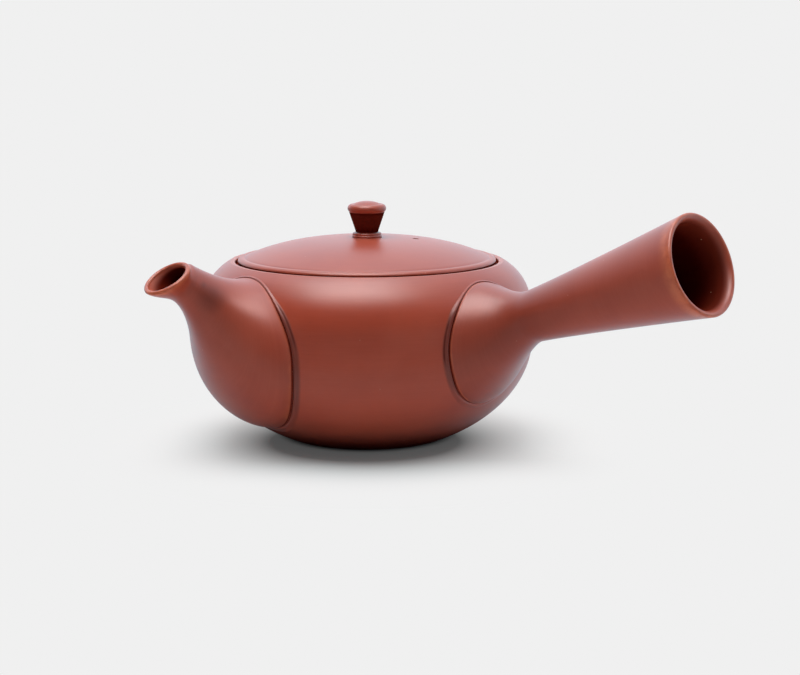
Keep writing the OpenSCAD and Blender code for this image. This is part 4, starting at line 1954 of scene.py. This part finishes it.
@dataclass(frozen=True)
class Studio:
    """Pale floor, soft light from above and the camera."""

    azimuth: float = 44.0
    distance: float = 600.0
    height: float = 136.5
    tilt: float = 9.7
    focal_px: float = 1728.0
    image_width: float = 800.0
    axis_px: float = 366.8
    sensor: float = 36.0
    clip_start: float = 0.01
    pale: float = 0.871
    front: float = 0.02
    cool: Colour = (0.68, 0.87, 1.0)
    wall_gain: float = 2.05
    wall_turn: float = -25.0
    wall_band: Band = (-0.55, 0.45)
    floor_colour: Colour = (0.93, 0.93, 0.93)
    floor_rough: float = 0.9
    floor_reach: float = 6000.0
    lift: float = 0.07
    near: float = 30.0
    far: float = 92.0
    contact: Band = (27.0, 33.0)
    shade_fore: float = 14.0
    shade_side: float = -1.0
    shade_slim: float = 0.92
    # painted shadow: the paper is darker and greyer near the pot
    shade_colour: Colour = (0.44, 0.52, 0.53)
    shade_band: Band = (36.0, 80.0)
    side_gain: float = 1.45
    side_band: Band = (-70.0, 70.0)
    left_band: Band = (180.0, 330.0)
    left_loss: float = 0.85
    right_lean: float = 0.6
    apron: float = 0.31
    apron_band: Band = (80.0, 170.0)
    lamp_height: float = 900.0
    lamp_fore: float = 45.0
    lamp_side: float = -120.0
    lamp_gap: float = 20.0
    broad_size: Spot = (1100.0, 1100.0)
    broad_power: float = 2.05
    core_size: Spot = (560.0, 560.0)
    core_power: float = 5.4
    card_fore: float = 440.0
    card_size: Spot = (900.0, 560.0)
    card_power: float = 7.6
    fill: float = 0.15
    side_fill: float = 0.05
    ambient: float = 0.19

    @property
    def back(self) -> Vector:
        """Level direction from the pot to the camera."""
        turn = math.radians(self.azimuth)
        return Vector((math.sin(turn), -math.cos(turn), 0.0))

    @property
    def right(self) -> Vector:
        """Level direction to the right of the picture."""
        return Vector((-self.back.y, self.back.x, 0.0))

    @property
    def wall(self) -> Vector:
        """Level direction from the pot to the middle of the bright wall."""
        turn = math.radians(self.wall_turn)
        return -self.back * math.cos(turn) - self.right * math.sin(turn)

    def build(self) -> None:
        """Set up the camera, the floor, the lamps and the surroundings."""
        self.camera()
        self.floor()
        self.lamps()
        self.surroundings()

    def camera(self) -> None:
        """Set up the camera."""
        yaw = math.atan((self.image_width / 2.0 - self.axis_px) / self.focal_px)
        pitch = math.radians(self.tilt)
        level = -self.back * math.cos(yaw) + self.right * math.sin(yaw)
        across = self.right * math.cos(yaw) + self.back * math.sin(yaw)
        ahead = level * math.cos(pitch) - UP * math.sin(pitch)
        data = bpy.data.cameras.new("camera")
        data.sensor_width = self.sensor
        data.lens = self.focal_px / self.image_width * self.sensor
        data.clip_start = self.clip_start
        obj = bpy.data.objects.new("camera", data)
        stand = Matrix((across, across.cross(ahead), -ahead)).transposed().to_4x4()
        stand.translation = (self.back * self.distance + UP * self.height) * MM
        obj.matrix_world = stand
        bpy.context.scene.collection.objects.link(obj)
        bpy.context.scene.camera = obj

    def floor(self) -> None:
        """Lay the floor, which fades into the background far from the pot."""
        reach = self.floor_reach * MM
        corners = [(-reach, -reach, 0.0), (reach, -reach, 0.0), (reach, reach, 0.0), (-reach, reach, 0.0)]
        mesh = bpy.data.meshes.new("floor")
        mesh.from_pydata(corners, [], [(0, 1, 2, 3)])
        mesh.materials.append(self._paper())
        obj = bpy.data.objects.new("floor", mesh)
        bpy.context.scene.collection.objects.link(obj)

    def _paper(self) -> bpy.types.Material:
        """Mix the floor's paper, which takes the pot's shadow and is painted darker near it, with the
        background's glow, which fades in round the pot and lightens and shapes that shadow.

        Returns:
            The material.
        """
        made, bench = new_material("floor_paper")
        metres = bench.add("ShaderNodeTexCoord", None, None, "Object")
        sockets = {0: metres, "Scale": 1.0 / MM}
        place = bench.add("ShaderNodeVectorMath", {"operation": "SCALE"}, sockets)
        fore, aside = bench.dot(place, self.back), bench.dot(place, self.right)
        sockets = {0: fore - self.shade_fore, 1: (aside - self.shade_side) * self.shade_slim}
        spread = bench.distance(bench.add("ShaderNodeCombineXYZ", None, sockets))
        camera, glossy, through = bench.rays()
        mirrored = glossy.most(through)

        # painted shadow: darker paper round the pot
        paint = bench.tint(spread.ease(*self.shade_band), self.shade_colour, self.floor_colour)
        sockets = {"Base Color": paint, "Roughness": self.floor_rough, "Specular IOR Level": 0.0}
        paper = bench.add(PRINCIPLED, None, sockets)

        strength = self.pale + mirrored * (self._mirrored_floor(fore, aside) - self.pale)
        colour = bench.tint(mirrored, WHITE, self.cool)
        glow = bench.add("ShaderNodeEmission", None, {"Color": colour, "Strength": strength})

        # painted light on the shadow: the glow fades in round an offset middle, and a faint lift of it
        # lightens all but the spot under the foot
        dim = (1.0 - ((spread - self.near) * (1.0 / (self.far - self.near))).most(0.0)).most(0.0)
        lift = self.lift * bench.distance(place).ease(*self.contact)
        share = (lift + (1.0 - dim * dim) * (1.0 - self.lift)) * camera.most(mirrored)
        surface = bench.add("ShaderNodeMixShader", None, {0: share, 1: paper, 2: glow})
        bench.node("ShaderNodeOutputMaterial", None, {"Surface": surface})
        return made

    def _mirrored_floor(self, fore: Tap, aside: Tap) -> Tap:
        """Light the floor as the pot mirrors it, bright beside and behind it and dim in front.

        Args:
            fore: Distance to the front of the pot.
            aside: Distance to its right.

        Returns:
            The strength of the glow.
        """
        ahead = (fore - aside.most(0.0) * self.right_lean).ease(*self.side_band)
        apron = self.apron * (1.0 - fore.ease(*self.apron_band))
        left = (0.0 - aside).ease(*self.left_band)
        beside = self.pale * self.side_gain * (1.0 - left * self.left_loss)
        return beside * (1.0 - ahead) + apron * ahead

    def lamp(self, name: str, size: Spot, power: float, fore: float, height: float) -> bpy.types.Object:
        """Hang a soft box above the pot.

        Args:
            name: Its name.
            size: Its width and depth.
            power: Its power in watts.
            fore: How far it hangs to the front.
            height: Its height above the floor.

        Returns:
            The lamp.
        """
        data = bpy.data.lights.new(name, "AREA")
        data.shape = "RECTANGLE"
        data.size = size[0] * MM
        data.size_y = size[1] * MM
        data.energy = power
        obj = bpy.data.objects.new(name, data)
        place = self.back * fore + self.right * self.lamp_side + UP * height
        turn = Matrix.Rotation(math.radians(self.azimuth), 4, "Z")
        obj.matrix_world = Matrix.Translation(place * MM) @ turn
        bpy.context.scene.collection.objects.link(obj)
        return obj

    def lamps(self) -> None:
        """Hang the soft box with its brighter core, and a card that lights the gloss alone."""
        high = self.lamp_height
        self.lamp("soft_box", self.broad_size, self.broad_power, self.lamp_fore, high + self.lamp_gap)
        self.lamp("soft_box_core", self.core_size, self.core_power, self.lamp_fore, high)
        card = self.lamp("gloss_card", self.card_size, self.card_power, self.card_fore, high - self.lamp_gap)
        card.visible_diffuse = False

    def surroundings(self) -> None:
        """Light the surroundings, pale to the camera and brighter to the pot on the side of the wall."""
        world = bpy.data.worlds.new("studio")
        world.use_nodes = True
        bpy.context.scene.world = world
        bench = NodeBench(world.node_tree)
        camera, glossy, through = bench.rays()
        way = bench.add("ShaderNodeTexCoord", None, None, "Generated")
        wall = bench.dot(way, self.wall).ease(*self.wall_band)
        bright = self.pale * self.wall_gain
        shine = self.front + wall * (bright - self.front)
        soft = self.fill + wall * (bright * self.ambient - self.fill)
        soft = soft + bench.dot(way, self.right).ease(0.0, 1.0) * self.side_fill
        shown = camera.most(through)
        strength = shown * self.pale + (1.0 - shown) * (soft + glossy * (shine - soft))
        colour = bench.tint(glossy, WHITE, self.cool)
        sky = bench.add("ShaderNodeBackground", None, {"Color": colour, "Strength": strength})
        bench.node("ShaderNodeOutputWorld", None, {"Surface": sky})


def main() -> None:
    """Load the frame, build every piece, log its faces and light the pot."""
    logging.basicConfig(level=logging.INFO, format="%(name)s: %(message)s")
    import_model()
    bpy.context.scene.view_settings.view_transform = "Standard"

    shop = Workshop()
    clay = ClayFinish("burnished_clay").material()
    matt = ClayFinish("strainer_clay", satin=0.62).material()
    body = ThrownBody()
    spout, handle = Spout(body), SideHandle(body)
    makers: list[tuple[SubAssembly, bpy.types.Material]] = [
        (body, clay),
        (spout, clay),
        (handle, clay),
        (LutingCoil(spout, "spout_coil", "spout_luting_coil", line_from=0.1, line_to=0.85), clay),
        (LutingCoil(handle, "handle_coil", "handle_luting_coil"), clay),
        (Strainer(body), matt),
        (Lid(), clay),
    ]
    for maker, finish in makers:
        for piece in maker.build(shop, finish):
            LOG.info("%s: %d faces", piece.name, len(piece.data.polygons))

    Studio().build()


if __name__ == "__main__":
    main()
